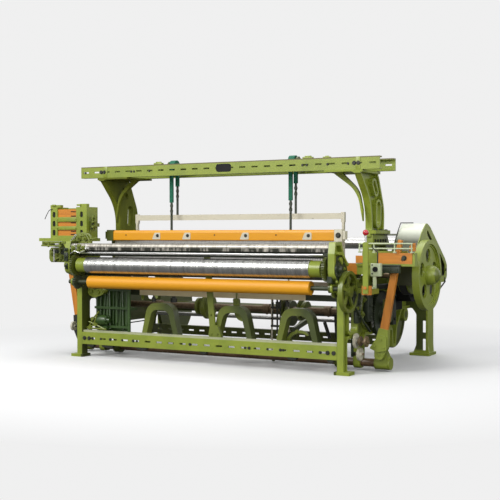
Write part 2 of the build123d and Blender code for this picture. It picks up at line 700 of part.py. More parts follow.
def cap_bracket():
    """End casting that holds the cap and stands on the sley beam."""
    x0, x1 = CAP_HALF, CAP_END
    head = block(x0, x1 - 18, CAP_Y0 - 6, CAP_Y1, CAP_Z0 - 4, CAP_Z1 + 3)
    head += block(x1 - 18, x1, CAP_Y0 + 2, CAP_Y1 - 2, CAP_Z0 + 10, CAP_Z1 - 8)
    post = outline((REED_Y1 + 3, RACE_Z), (SLEY_Y1, RACE_Z), (SLEY_Y1 - 4, 740, 20),
                   (CAP_Y1 - 2, CAP_Z0), (CAP_Y1 - 16, CAP_Z0), (REED_Y1 + 1, 760, 20))
    return head + yz(post, x0 + 8, x0 + 36)


def stick_slot():
    """(X0, X1, Y0, Y1) of the slot in the box floor that the stick swings in."""
    half = STICK_T / 2 + 4
    return STICK_PIVOT_X - 124, BOX_BACK_END - BOX_LIP, STICK_Y - half, STICK_Y + half


def shuttle_box():
    """Box at the sley's end: floor, back plate, end block, slot for the picking stick."""
    x0, x1 = SLEY_END, BOX_END
    front = SLEY_Y0 - BOX_LIP
    box = block(x0, BOX_BACK_END, front, SLEY_Y1 + BOX_WALL, RACE_Z - 14, RACE_Z)
    box += block(BOX_BACK_END - 1, x1, front, BOX_NARROW_Y, RACE_Z - 14, RACE_Z)
    box += block(x0, x0 + 150, SLEY_Y0, SLEY_Y1, RACE_Z - SLEY_H, RACE_Z)
    back_plate = rectangle(x0 + 6, BOX_BACK_END, RACE_Z, RACE_Z + BOX_H + 10, 4)
    box += xz(back_plate, SLEY_Y1, SLEY_Y1 + BOX_WALL)
    end = outline((front, RACE_Z - 14), (BOX_NARROW_Y, RACE_Z - 14), (BOX_NARROW_Y, RACE_Z + BOX_H, 8),
                  (front, RACE_Z + BOX_H, 8))
    box += yz(end, x1 - BOX_LIP, x1)
    sx0, sx1, sy0, sy1 = stick_slot()
    return box - block(sx0, sx1, sy0, sy1, RACE_Z - SLEY_H - 1, RACE_Z + 1)


def box_front():
    """Wooden front of the shuttle box."""
    x1 = BOX_END - BOX_LIP - 2
    x0 = x1 - BOARD_L
    board = rectangle(x0, x1, RACE_Z, RACE_Z + BOX_H, 4)
    plate = xz(board, SLEY_Y0 - BOX_LIP, SLEY_Y0 - 2)
    return plate - rod_y(x1 - 60, SLEY_Y0 - BOX_LIP - 1, SLEY_Y0, RACE_Z + 26, 11)


def stick_point(height, aside=0.0):
    """(X, Z) on the leaning stick, height above its pivot, aside across it."""
    lean = math.radians(STICK_LEAN)
    return (STICK_PIVOT_X + height * math.sin(lean) + aside * math.cos(lean),
            STICK_PIVOT_Z + height * math.cos(lean) - aside * math.sin(lean))


def picking_stick(length):
    face = outline(stick_point(STICK_LOW, -25), stick_point(STICK_LOW, 25),
                   stick_point(STICK_SHOULDER, 21), stick_point(length, 12),
                   stick_point(length, -12), stick_point(STICK_SHOULDER, -21))
    return xz(face, STICK_Y - STICK_T / 2, STICK_Y + STICK_T / 2)


def stick_shoe():
    """Iron shoe that clasps the foot of the stick and turns on the foot bearing's pin."""
    corners = [stick_point(-30, -24) + (20,), stick_point(-30, 24) + (20,), stick_point(50, 46) + (40,),
               stick_point(SHOE_TOP, 30), stick_point(SHOE_TOP, -30), stick_point(50, -40) + (40,)]
    outer = xz(outline(*corners), STICK_Y - STICK_T / 2 - 7, STICK_Y + STICK_T / 2 + 7)
    outer -= picking_stick(LEFT_STICK_L)
    return outer - rod_y(STICK_PIVOT_X, STICK_Y - 40, STICK_Y + 40, STICK_PIVOT_Z, 11 + FIT)


def stick_bearing():
    """Casting clamped on the end of the rocker shaft, with the shoe's pin."""
    gap = STICK_Y + STICK_T / 2 + 7 + SEAT
    arm = outline((ROCKER_Y - 38, ROCKER_Z - 34, 26), (ROCKER_Y + 38, ROCKER_Z - 34, 26),
                  (ROCKER_Y + 36, ROCKER_Z + 30, 24), (gap + 14, STICK_PIVOT_Z + 26, 14),
                  (gap, STICK_PIVOT_Z + 26), (gap, ROCKER_Z - 10, 12))
    casting = yz(arm, STICK_PIVOT_X - 40, STICK_PIVOT_X + 40)
    casting += rod_x(STICK_PIVOT_X - 50, STICK_PIVOT_X + 50, ROCKER_Y, ROCKER_Z, 38)
    casting += rod_y(STICK_PIVOT_X, STICK_Y - STICK_T / 2 - 12, gap + 2, STICK_PIVOT_Z, 11)
    return casting - rod_x(STICK_PIVOT_X - 60, STICK_PIVOT_X + 60, ROCKER_Y, ROCKER_Z, ROCKER_R)


def picker():
    """Block in the shuttle box with a slot for the stick that drives it."""
    x = stick_point(PICK_HEIGHT)[0]
    half = STICK_T / 2 + 3
    body = block(x - PICKER_L / 2, x + PICKER_L / 2, SLEY_Y0 + 4, SLEY_Y1 - 3,
                 RACE_Z + SEAT, RACE_Z + BOX_H - 4)
    return body - block(x - 26, x + 26, STICK_Y - half, STICK_Y + half, RACE_Z - 1, RACE_Z + BOX_H)


# Shedding group

def heald_frame(y, top):
    """Frame of two bars and two side irons."""
    face = rectangle(-FRAME_HALF, FRAME_HALF, top - FRAME_H, top)
    window = rectangle(-FRAME_HALF + 14, FRAME_HALF - 14, top - FRAME_H + FRAME_BAR, top - FRAME_BAR)
    frame = xz(face - window, y - FRAME_T / 2, y + FRAME_T / 2)
    for sign in (-1, 1):
        x = sign * (FRAME_HALF - 8)
        frame += block(x - 12, x + 12, y - FRAME_T / 2, y + FRAME_T / 2, top - 60, top + 6)
    return frame


def straps(y, top, tape_z):
    """Strap, link and hook at two places, from the harness roller to the frame."""
    parts = []
    for x in (-STRAP_X, STRAP_X):
        parts.append(block(x - 13, x + 13, y - 2, y + 2, tape_z, HARNESS_Z))
        parts.append(rod_z(x, y, top + 34, tape_z + 1, 5))
        parts.append(block(x - 9, x + 9, y - 7, y + 7, top, top + 35))
    group = parts[0]
    for part in parts[1:]:
        group += part
    return group


def harness_shaft():
    y = (FRONT_FRAME_Y + REAR_FRAME_Y) / 2
    radius = (REAR_FRAME_Y - FRONT_FRAME_Y) / 2 - 2 - SEAT
    shaft = rod_x(-HARNESS_HALF, HARNESS_HALF, y, HARNESS_Z, HARNESS_SHAFT_R)
    for x in (-STRAP_X, STRAP_X):
        shaft += rod_x(x - 22, x + 22, y, HARNESS_Z, radius)
    return shaft


def harness_hangers():
    """Two bearing plates between the top beams."""
    y = (FRONT_FRAME_Y + REAR_FRAME_Y) / 2
    plates = []
    for sign in (-1, 1):
        x0, x1 = sorted((sign * 496, sign * 508))
        face = rectangle(FRONT_BEAM_Y + BEAM_D, REAR_BEAM_Y, BEAM_Z + 4, BEAM_Z + BEAM_H - 4)
        face += Pos(y, HARNESS_Z) * Circle(HARNESS_SHAFT_R + 16)
        plate = yz(face, x0, x1)
        plates.append(plate - rod_x(x0 - 1, x1 + 1, y, HARNESS_Z, HARNESS_SHAFT_R + FIT))
    return Compound(plates)


def lamming_rod(x, side, y, top, low):
    """Rod from a frame down to its treadle, beside the tappet, and its foot over the lever."""
    beside = x + side * 24
    foot = block(min(x, beside) - 9, max(x, beside) + 9, y - 8, y + 8, low - 14, low)
    return [rod_z(beside, y, low, top, 6), foot]


def treadle(x, frame_y, raised):
    """Lever on the treadle shaft with a bowl under the tappet, drawn where it rests."""
    drop = 0.0 if raised else LIFT
    top_z = BOTTOM_Z - CAM_R - 6
    bowl_r = 24.0
    bowl_z = top_z - bowl_r - drop * (TREADLE_Y - CRANK_Y) / (TREADLE_Y - frame_y)
    slope = (TREADLE_Z - bowl_z + 4) / (TREADLE_Y - CRANK_Y)
    end_y = frame_y - 26

    def line(y, lift):
        return TREADLE_Z - slope * (TREADLE_Y - y) + lift

    face = outline((TREADLE_Y, line(TREADLE_Y, -18)), (TREADLE_Y, line(TREADLE_Y, 18)),
                   (end_y, line(end_y, 13)), (end_y, line(end_y, -13)))
    lever = yz(face, x - TREADLE_T / 2, x + TREADLE_T / 2)
    lever += rod_x(x - 14, x + 14, TREADLE_Y, TREADLE_Z, 30)
    lever += rod_x(x - 12, x + 12, CRANK_Y, bowl_z, bowl_r)
    return lever - rod_x(x - 20, x + 20, TREADLE_Y, TREADLE_Z, TREADLE_ROD_R + FIT), line


def treadle_rod():
    return rod_x(-WALL_INNER_X, WALL_INNER_X, TREADLE_Y, TREADLE_Z, TREADLE_ROD_R)


# Cloth side

def take_up_roller():
    roller = rod_x(-TAKE_HALF, TAKE_HALF, TAKE_Y, TAKE_Z, TAKE_R)
    roller += rod_x(-CAP_OUT_X, CAP_OUT_X, TAKE_Y, TAKE_Z, TAKE_CAP_R)
    return roller + rod_x(-WALL_OUTER_X - 20, WALL_OUTER_X + 20, TAKE_Y, TAKE_Z, TAKE_JOURNAL_R)


def take_up_gear():
    wheel = gear(TAKE_GEAR_X, TAKE_GEAR_X + TAKE_GEAR_W, TAKE_Y, TAKE_Z, TAKE_TEETH, TAKE_MODULE,
                 TAKE_JOURNAL_R)
    return both_sides(wheel)


def take_up_idler():
    y, z = idler_axis()
    phase = mesh_phase(IDLER_TEETH, TAKE_TEETH, WHEEL_ANGLE)
    return gear(TAKE_GEAR_X, TAKE_GEAR_X + TAKE_GEAR_W, y, z, IDLER_TEETH, TAKE_MODULE,
                IDLER_PIN_R + FIT, phase)


def mesh_phase(teeth, other_teeth, angle_deg):
    """Phase that puts a tooth gap of this gear on a tooth of the other along the centre line."""
    toward = (angle_deg + 180) / 360 * teeth
    other = angle_deg / 360 * other_teeth
    return toward - 0.5 + (other - round(other))


def cloth_roller():
    y, z = cloth_axis()
    roller = rod_x(-CLOTH_HALF, CLOTH_HALF, y, z, CLOTH_R)
    roller += rod_x(-WALL_OUTER_X, WALL_OUTER_X, y, z, CLOTH_JOURNAL_R)
    phase = mesh_phase(CLOTH_TEETH, TAKE_TEETH, CLOTH_ANGLE)
    return roller + gear(-TAKE_GEAR_X - TAKE_GEAR_W, -TAKE_GEAR_X, y, z, CLOTH_TEETH, TAKE_MODULE,
                         CLOTH_JOURNAL_R - 1, phase)


def hand_wheel():
    y, z = wheel_axis()
    x0, x1 = WALL_OUTER_X + 8, WALL_OUTER_X + 36
    wheel = ring_x(x0, x1, y, z, HAND_R, HAND_R - 20)
    wheel += rod_x(x0, x1 + 8, y, z, 32)
    for angle in range(18, 360, 72):
        face = Pos(y, z) * Rot(0, 0, angle) * Pos(HAND_R / 2, 0) * Rectangle(HAND_R - 28, 20)
        wheel += yz(face, x0 + 8, x1 - 8)
    wheel += rod_x(TAKE_GEAR_X, x1, y, z, HAND_SHAFT_R)
    phase = mesh_phase(WHEEL_TEETH, TAKE_TEETH, WHEEL_ANGLE) + 0.5
    return wheel + gear(TAKE_GEAR_X, TAKE_GEAR_X + TAKE_GEAR_W, y, z, WHEEL_TEETH, TAKE_MODULE,
                        HAND_SHAFT_R - 1, phase)


# Warp side

def warp_beam():
    x0, x1 = WARP_FLANGE_X, WARP_FLANGE_X + WARP_FLANGE_T
    beam = rod_x(-x0, x0, WARP_Y, WARP_Z, WARP_R)
    beam += rod_x(-WALL_OUTER_X, WALL_OUTER_X, WARP_Y, WARP_Z, WARP_JOURNAL_R)
    for sign in (-1, 1):
        a, b = sorted((sign * x0, sign * x1))
        beam += rod_x(a, b, WARP_Y, WARP_Z, WARP_FLANGE_R)
        c, d = sorted((sign * x1, sign * (x1 + 8)))
        beam += ring_x(c, d, WARP_Y, WARP_Z, WARP_FLANGE_R, WARP_FLANGE_R - 16)
        beam += ring_x(c, d, WARP_Y, WARP_Z, 120, 104)
    return beam


def back_rest():
    rest = rod_x(-930, 930, REST_Y, REST_Z, REST_R)
    return rest + rod_x(-WALL_INNER_X, WALL_INNER_X, REST_Y, REST_Z, 14)


# Magazine at the left end

MAG_X0, MAG_X1 = -1288.0, -966.0
MAG_Y0, MAG_Y1 = back(60.0), back(185.0)
MAG_Z0, MAG_Z1 = 820.0, 1054.0
MAG_FLOOR = 12.0
SHUTTLE_H = 38.0


def magazine_frame():
    frame = block(MAG_X0, MAG_X1, MAG_Y1 - 8, MAG_Y1, MAG_Z0, MAG_Z1 - 20)
    columns = ((MAG_X0, MAG_X0 + 62), (MAG_X1 - 92, MAG_X1))
    for x0, x1 in columns:
        column = block(x0, x1, MAG_Y0, MAG_Y1, MAG_Z0, MAG_Z1 - 16)
        column -= block(x0 + 8, x1 - 8, MAG_Y0 + 8, MAG_Y1 - 8, MAG_Z0 - 1, MAG_Z1)
        for z in (858.0, 922.0, 986.0):
            hole = rectangle((x0 + x1) / 2 - 13, (x0 + x1) / 2 + 13, z - 20, z + 20, 10)
            column -= xz(hole, MAG_Y0 - 1, MAG_Y0 + 9)
        frame += column
    frame += block(MAG_X0, MAG_X0 + 90, MAG_Y0, MAG_Y0 + 30, MAG_Z1 - 18, MAG_Z1)
    frame += block(MAG_X1 - 60, MAG_X1, MAG_Y0, MAG_Y0 + 30, MAG_Z1 - 18, MAG_Z1 + 6)
    frame += block(MAG_X0 + 60, MAG_X1 - 90, MAG_Y0, MAG_Y0 + 8, MAG_Z0, MAG_Z0 + 18)
    frame += block(MAG_X0 + 60, MAG_X1 - 90, MAG_Y0, MAG_Y1, MAG_Z0, MAG_Z0 + MAG_FLOOR)
    return frame


def magazine_shelf():
    """Shelf plate, and the strut and foot that hold it off the left wall."""
    under = MAG_Z0 - 22
    shelf = block(MAG_X0 - 80, MAG_X1, back(30), MAG_Y1 + 30, under, MAG_Z0)
    strut = outline((-WALL_OUTER_X - 150, under), (-WALL_OUTER_X - 90, under), (-WALL_OUTER_X, 690, 60),
                    (-WALL_OUTER_X, 640), (-WALL_OUTER_X - 60, 650, 50))
    shelf += xz(strut, back(22), back(44))
    shelf += block(-WALL_OUTER_X - 17, -WALL_OUTER_X, back(-20), back(66), 640, 690)
    return shelf


def stored_shuttles():
    """Five shuttles lying on each other in the magazine."""
    shuttles = []
    x0, x1 = MAG_X0 + 62 + SEAT, MAG_X1 - 92 - SEAT
    for i in range(5):
        z = MAG_Z0 + MAG_FLOOR + SEAT + i * (SHUTTLE_H + SEAT)
        body = block(x0, x1, MAG_Y0 + 8 + SEAT, MAG_Y1 - 8 - SEAT, z, z + SHUTTLE_H)
        body -= block(x0 + 40, x1 - 40, MAG_Y0 + 30, MAG_Y1 - 30, z + 8, z + SHUTTLE_H + 1)
        shuttles.append(body)
    return Compound(shuttles)


# Right end: guard, motor, starting handle

def guard_profile():
    return outline((back(398), GUARD_LOW), (back(398), 700, 60), (back(560), 862, 200),
                   (back(644), 922, 50), (back(716), 896, 120), (back(1022), 688, 80),
                   (back(1068), 642, 30), (back(1068), 562, 30), (back(990), GUARD_LOW))


def belt_guard():
    """Sheet guard open towards the wall and below, with a window and a curved slot."""
    x0, x1 = GUARD_X, GUARD_X + GUARD_DEPTH
    face = guard_profile()
    guard = yz(face, x0, x1)
    inside = offset(face, amount=-GUARD_T, kind=Kind.ARC)
    guard -= yz(inside, x0 - 1, x1 - GUARD_T)
    guard -= block(x0 - 1, x1 + 1, back(390), back(1080), GUARD_LOW - 1, GUARD_LOW + 28)
    guard -= rod_x(x1 - 10, x1 + 1, CRANK_Y, CRANK_Z, 50)
    window = outline((back(870), 570, 20), (back(1030), 570, 20), (back(1028), 640, 30),
                     (back(890), 744, 30))
    guard -= yz(window, x1 - 10, x1 + 1)
    slot = outline((back(640), 876, 12), (back(676), 870, 12), (back(770), 800, 12), (back(750), 780, 12),
                   (back(664), 842, 30))
    guard -= yz(slot, x1 - 10, x1 + 1)
    hanger = face & rectangle(back(664), back(696), SADDLE_Z - 12, 930)
    guard += yz(hanger, x0, x0 + GUARD_T)
    guard += block(WALL_OUTER_X, x0 + 1, back(664), back(696), SADDLE_Z - 12, SADDLE_Z)
    return guard


MOTOR_Y, MOTOR_Z = back(900.0), 500.0


def motor():
    body = rod_x(1014, 1122, MOTOR_Y, MOTOR_Z, 104)
    body += rod_x(1122, 1140, MOTOR_Y, MOTOR_Z, 70)
    body += block(WALL_OUTER_X, 1015, MOTOR_Y - 118, MOTOR_Y + 76, MOTOR_Z - 162, MOTOR_Z + 58)
    return body - rod_x(1058, 1141, MOTOR_Y, MOTOR_Z, MOTOR_SHAFT_R + FIT)


MOTOR_PULLEY_R = 44.0
MOTOR_SHAFT_R = 14.0
BELT_T = 9.0


def motor_pulley():
    """Pulley with its shaft, which turns in the motor."""
    x0, x1 = DRIVE_PULLEY_X, DRIVE_PULLEY_X + DRIVE_PULLEY_W
    pulley = rod_x(x0, x1, MOTOR_Y, MOTOR_Z, MOTOR_PULLEY_R)
    return pulley + rod_x(1060, x1, MOTOR_Y, MOTOR_Z, MOTOR_SHAFT_R)


def belt_face(extra):
    """Hull round both pulleys, this far outside them."""
    run = Vector(MOTOR_Y - CRANK_Y, MOTOR_Z - CRANK_Z)
    distance = run.length
    big, small = DRIVE_PULLEY_R + extra, MOTOR_PULLEY_R + extra
    spread = math.acos((big - small) / distance)
    heading = math.atan2(run.Y, run.X)
    points = []
    for y, z, radius, side in ((CRANK_Y, CRANK_Z, big, 1), (CRANK_Y, CRANK_Z, big, -1),
                               (MOTOR_Y, MOTOR_Z, small, -1), (MOTOR_Y, MOTOR_Z, small, 1)):
        angle = heading + side * spread
        points.append((y + radius * math.cos(angle), z + radius * math.sin(angle)))
    band = outline(*points)
    return band + Pos(CRANK_Y, CRANK_Z) * Circle(big) + Pos(MOTOR_Y, MOTOR_Z) * Circle(small)


def drive_belt():
    face = belt_face(SEAT + BELT_T) - belt_face(SEAT)
    x0, x1 = DRIVE_PULLEY_X + 8, DRIVE_PULLEY_X + DRIVE_PULLEY_W - 8
    return yz(face, x0, x1)


def hex_bolt(x, y, z, direction, size):
    """Bolt head with its washer, standing out of a face along direction."""
    head = extrude(RegularPolygon(size, 6), amount=size * 0.7)
    head += Cylinder(size * 1.25, 3, align=(Align.CENTER, Align.CENTER, Align.MIN))
    return Plane(origin=(x, y, z), z_dir=direction) * head


def frame_bolts():
    """Bolts of the rails, the beams and the bowed legs."""
    bolts = []
    for sign in (-1, 1):
        for x in (WALL_INNER_X - 60, WALL_INNER_X - 20):
            bolts.append(hex_bolt(sign * x, back(0), RAIL_Z + RAIL_H / 2, (0, -1, 0), 11))
        for x in (WALL_INNER_X + 2, WALL_INNER_X + 30):
            bolts.append(hex_bolt(sign * x, FRONT_BEAM_Y, BEAM_Z + BEAM_H / 2, (0, -1, 0), 11))
        for y in (back(470), back(560), back(650)):
            bolts.append(hex_bolt(sign * (WALL_OUTER_X + 19), y, SADDLE_Z + 22, (0, 0, 1), 10))
    return Compound(bolts)


HANDLE_X, HANDLE_Y, HANDLE_Z = 1153.0, back(-20.0), 530.0
HANDLE_T = 12.0


def starting_handle():
    half = HANDLE_T / 2
    lever = block(HANDLE_X - 16, HANDLE_X + 16, HANDLE_Y - half, HANDLE_Y + half, HANDLE_Z - 34, 800)
    lever += rod_z(HANDLE_X, HANDLE_Y, 799, 842, 7)
    lever += Pos(HANDLE_X, HANDLE_Y, 856) * Sphere(18)
    return lever - rod_y(HANDLE_X, HANDLE_Y - HANDLE_T, HANDLE_Y + HANDLE_T, HANDLE_Z, 10 + FIT)


def handle_bracket():
    """Arm from the right wall round the hand wheel, with the block that holds the handle's pin."""
    y0 = HANDLE_Y + HANDLE_T / 2 + SEAT
    wheel_y = wheel_axis()[0]
    arm_y = wheel_y + HAND_R + 4
    low, top = HANDLE_Z - 42, HANDLE_Z - 12
    arm = block(WALL_INNER_X + WEB_T, HANDLE_X + 10, arm_y, arm_y + 20, low, top)
    arm += block(HANDLE_X - 10, HANDLE_X + 10, y0 + 20, arm_y + 1, low, top)
    arm += block(HANDLE_X - 27, HANDLE_X + 27, y0, y0 + 26, low, HANDLE_Z + 12)
    return arm + rod_y(HANDLE_X, HANDLE_Y - HANDLE_T, y0 + 2, HANDLE_Z, 10)


def build():
    wall = side_wall()
    leg = bow_leg()
    arm = crank_arm()
    blade = sword()
    box = shuttle_box()
    shoe, bearing, striker = stick_shoe(), stick_bearing(), picker()
    cam = pick_cam()
    nodes = {
        "right_side_wall": wall, "left_side_wall": other_side(wall),
        "front_rail": front_rail(), "rear_rail": rear_rail(), "front_stay": front_stay(),
        "bow_legs": both_sides(leg),
        "front_top_beam": front_top_beam(), "rear_top_beam": rear_top_beam(),
        "breast_beam": breast_beam(), "guide_rod": guide_rod(),
        "back_rest_brackets": both_sides(rest_bracket()),
        "crankshaft": crankshaft(), "flywheel": flywheel() + drive_pulley(),
        "crank_gear": crank_gear(), "bottom_gear": bottom_gear(), "bottom_shaft": bottom_shaft(),
        "crank_arms": both_sides(arm), "picking_cams": both_sides(cam), "shedding_cams": shedding_cams(),
        "rocker_shaft": Compound([rocker_shaft(), bearing, other_side(bearing)]),
        "swords": both_sides(blade),
        "sley_beam": sley_beam(), "sley_tie": sley_tie(), "reed": reed(), "reed_cap": reed_cap(),
        "cap_brackets": both_sides(cap_bracket()), "shuttle_boxes": both_sides(box),
        "box_fronts": both_sides(box_front()),
        "right_picking_stick": picking_stick(RIGHT_STICK_L),
        "left_picking_stick": other_side(picking_stick(LEFT_STICK_L)),
        "right_stick_shoe": shoe, "left_stick_shoe": other_side(shoe),
        "right_picker": striker, "left_picker": other_side(striker),
        "harness_shaft": harness_shaft(), "harness_hangers": harness_hangers(),
        "treadle_rod": treadle_rod(),
        "take_up_roller": take_up_roller(),
        "take_up_gears": take_up_gear(), "take_up_idler": take_up_idler(),
        "cloth_roller": cloth_roller(), "hand_wheel": hand_wheel(),
        "warp_beam": warp_beam(), "back_rest": back_rest(),
        "magazine": magazine_frame() + magazine_shelf(), "stored_shuttles": stored_shuttles(),
        "belt_guard": belt_guard(), "motor": motor(), "motor_pulley": motor_pulley(),
        "drive_belt": drive_belt(), "frame_bolts": frame_bolts(),
        "starting_handle": starting_handle(), "handle_bracket": handle_bracket(),
    }
    stands = [arch_stand(middle) for middle in (-345.0, 212.0, 672.0)]
    nodes["arch_stands"] = Compound(stands)
    rear_top, front_top = REAR_FRAME_TOP, REAR_FRAME_TOP - LIFT
    for name, y, top, tape_z, x, side, raised in (
            ("front", FRONT_FRAME_Y, front_top, FRONT_TAPE_Z, TREADLE_X[0], -1, False),
            ("rear", REAR_FRAME_Y, rear_top, REAR_TAPE_Z, TREADLE_X[1], 1, True)):
        lever, line = treadle(x, y, raised)
        rod = lamming_rod(x, side, y, top - FRAME_H, line(y, 13) + 22)
        nodes[name + "_heald_frame"] = Compound([heald_frame(y, top)] + rod)
        nodes[name + "_straps"] = straps(y, top, tape_z)
        nodes[name + "_treadle"] = lever
    return nodes


nodes = build()
os.makedirs("parts", exist_ok=True)
for name, shape in nodes.items():
    shape.label = name
    export_step(shape, f"parts/{name}.step")
print(len(nodes), "nodes")
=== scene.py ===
"""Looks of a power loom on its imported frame: enamelled castings, lacquered wood, worn steel."""

import math

import bmesh
import bpy
from mathutils import Matrix, Vector


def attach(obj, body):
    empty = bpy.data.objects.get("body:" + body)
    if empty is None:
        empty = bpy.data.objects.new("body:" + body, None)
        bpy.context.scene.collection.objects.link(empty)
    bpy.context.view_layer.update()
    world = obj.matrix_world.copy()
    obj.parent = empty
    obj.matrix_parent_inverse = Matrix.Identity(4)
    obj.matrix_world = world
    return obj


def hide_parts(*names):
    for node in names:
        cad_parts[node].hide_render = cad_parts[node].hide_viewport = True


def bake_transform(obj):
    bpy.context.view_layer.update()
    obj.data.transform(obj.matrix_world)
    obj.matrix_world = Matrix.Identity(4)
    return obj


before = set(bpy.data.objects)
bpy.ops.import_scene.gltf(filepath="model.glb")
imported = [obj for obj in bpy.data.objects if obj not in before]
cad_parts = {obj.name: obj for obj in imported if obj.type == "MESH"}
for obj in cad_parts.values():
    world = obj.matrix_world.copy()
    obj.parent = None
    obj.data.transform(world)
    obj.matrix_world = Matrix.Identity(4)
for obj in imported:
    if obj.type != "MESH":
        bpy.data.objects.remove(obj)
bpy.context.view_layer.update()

bl_info = {
    "name": "Power Loom Dresser",
    "version": (1, 0, 0),
    "blender": (4, 5, 0),
    "location": "View3D > Sidebar > Loom",
    "description": "Dresses the frame of a power loom with its finishes and small parts",
    "category": "Add Mesh",
}

# Depths in this file are measured from the front face of the front legs, which stands at this Y.
LEG_FACE = -0.637

WALL_INSIDE, WALL_OUTSIDE = 0.9605, 1.0035
BOTTOM_AXLE = (0.540, 0.338)
ROLLER_AXLE = (-0.090, 0.638)
STRAP_MIDDLE = 0.465
FORWARD, OUTWARD = (0, -1, 0), (1, 0, 0)


# Shader tools

class Wire:
    """A socket's output that can be used in sums."""

    def __init__(self, board, socket):
        self.board = board
        self.socket = socket

    def sum(self, operation, *values, clamp=False):
        settings = {"operation": operation, "use_clamp": clamp}
        return self.board.node("ShaderNodeMath", settings, dict(enumerate(values or (self,))))

    def __add__(self, other):
        return self.sum("ADD", self, other)

    def __sub__(self, other):
        return self.sum("SUBTRACT", self, other)

    def __rsub__(self, other):
        return self.sum("SUBTRACT", other, self)

    def __mul__(self, other):
        return self.sum("MULTIPLY", self, other)

    def clamped(self):
        return self.sum("ADD", self, 0.0, clamp=True)

    def unsigned(self):
        return self.sum("ABSOLUTE")

    def sine(self):
        return self.sum("SINE")

    def fraction(self):
        return self.sum("FRACT")

    def past(self, limit, steep=4000.0):
        """Mask that rises from 0 at the limit to 1 beyond it."""
        return ((self - limit) * steep).clamped()

    def before(self, limit, steep=4000.0):
        """Mask that falls to 0 at the limit."""
        return ((limit - self) * steep).clamped()


class Board:
    """The nodes of a new material or world."""

    def __init__(self, name, kind="materials"):
        self.owner = getattr(bpy.data, kind).new(name)
        self.owner.use_nodes = True
        self.tree = self.owner.node_tree
        self.tree.nodes.clear()
        if kind == "materials":
            self.place = self.node("ShaderNodeTexCoord", output="Object")

    def node(self, kind, settings=None, inputs=None, output=0):
        made = self.tree.nodes.new(kind)
        for key, value in (settings or {}).items():
            setattr(made, key, value)
        for key, value in (inputs or {}).items():
            if isinstance(value, Wire):
                self.tree.links.new(value.socket, made.inputs[key])
            else:
                made.inputs[key].default_value = value
        return Wire(self, made.outputs[output]) if made.outputs else made

    def noise(self, scale, detail=3.0, roughness=0.5, stretch=None):
        place = self.place
        if stretch:
            place = self.node("ShaderNodeMapping", None, {"Vector": place, "Scale": stretch})
        inputs = {"Vector": place, "Scale": scale, "Detail": detail, "Roughness": roughness}
        return self.node("ShaderNodeTexNoise", {"noise_dimensions": "3D"}, inputs, "Fac")

    def cells(self, scale):
        inputs = {"Vector": self.place, "Scale": scale}
        return self.node("ShaderNodeTexVoronoi", {"feature": "F1"}, inputs, "Distance")

    def axis(self, letter):
        return self.node("ShaderNodeSeparateXYZ", None, {"Vector": self.place}, letter)

    def mix(self, factor, a, b):
        settings = {"data_type": "RGBA", "clamp_factor": True}
        return self.node("ShaderNodeMix", settings, {0: factor, 6: a, 7: b}, 2)

    def mottled(self, scale, detail, dark, light):
        """Patches of two (red, green, blue) tones."""
        return self.mix(self.noise(scale, detail), (*dark, 1.0), (*light, 1.0))

    def bump(self, height, strength, distance):
        inputs = {"Height": height, "Strength": strength, "Distance": distance}
        return self.node("ShaderNodeBump", None, inputs)

    def finish(self, **values):
        """The material, with its shader's inputs given as coat_weight and so on."""
        inputs = {key.replace("_", " ").title().replace("Ior", "IOR"): value
                  for key, value in values.items()}
        shader = self.node("ShaderNodeBsdfPrincipled", None, inputs)
        self.node("ShaderNodeOutputMaterial", None, {"Surface": shader})
        return self.owner


def shade(colour, amount):
    return (*(part * amount for part in colour[:3]), 1.0)


def tinted(colour, *amounts):
    """The colour with its red, green and blue scaled one by one."""
    return tuple(part * amount for part, amount in zip(colour, amounts))


# Mesh tools

def add_object(name, data):
    made = bpy.data.objects.new(name, data)
    bpy.context.scene.collection.objects.link(made)
    return made


def finished(name, data, finish, body):
    """A smooth piece with its material, riding on its body if it has just one."""
    piece = add_object(name, data)
    piece.data.materials.clear()
    piece.data.materials.append(finish_of(finish))
    for polygon in piece.data.polygons:
        polygon.use_smooth = True
    if body:
        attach(piece, body)
    return piece


def placed(point):
    """A point in the frame of the CAD, from one whose depth starts at the legs' face."""
    x, y, z = point
    return Vector((x, y + LEG_FACE, z))


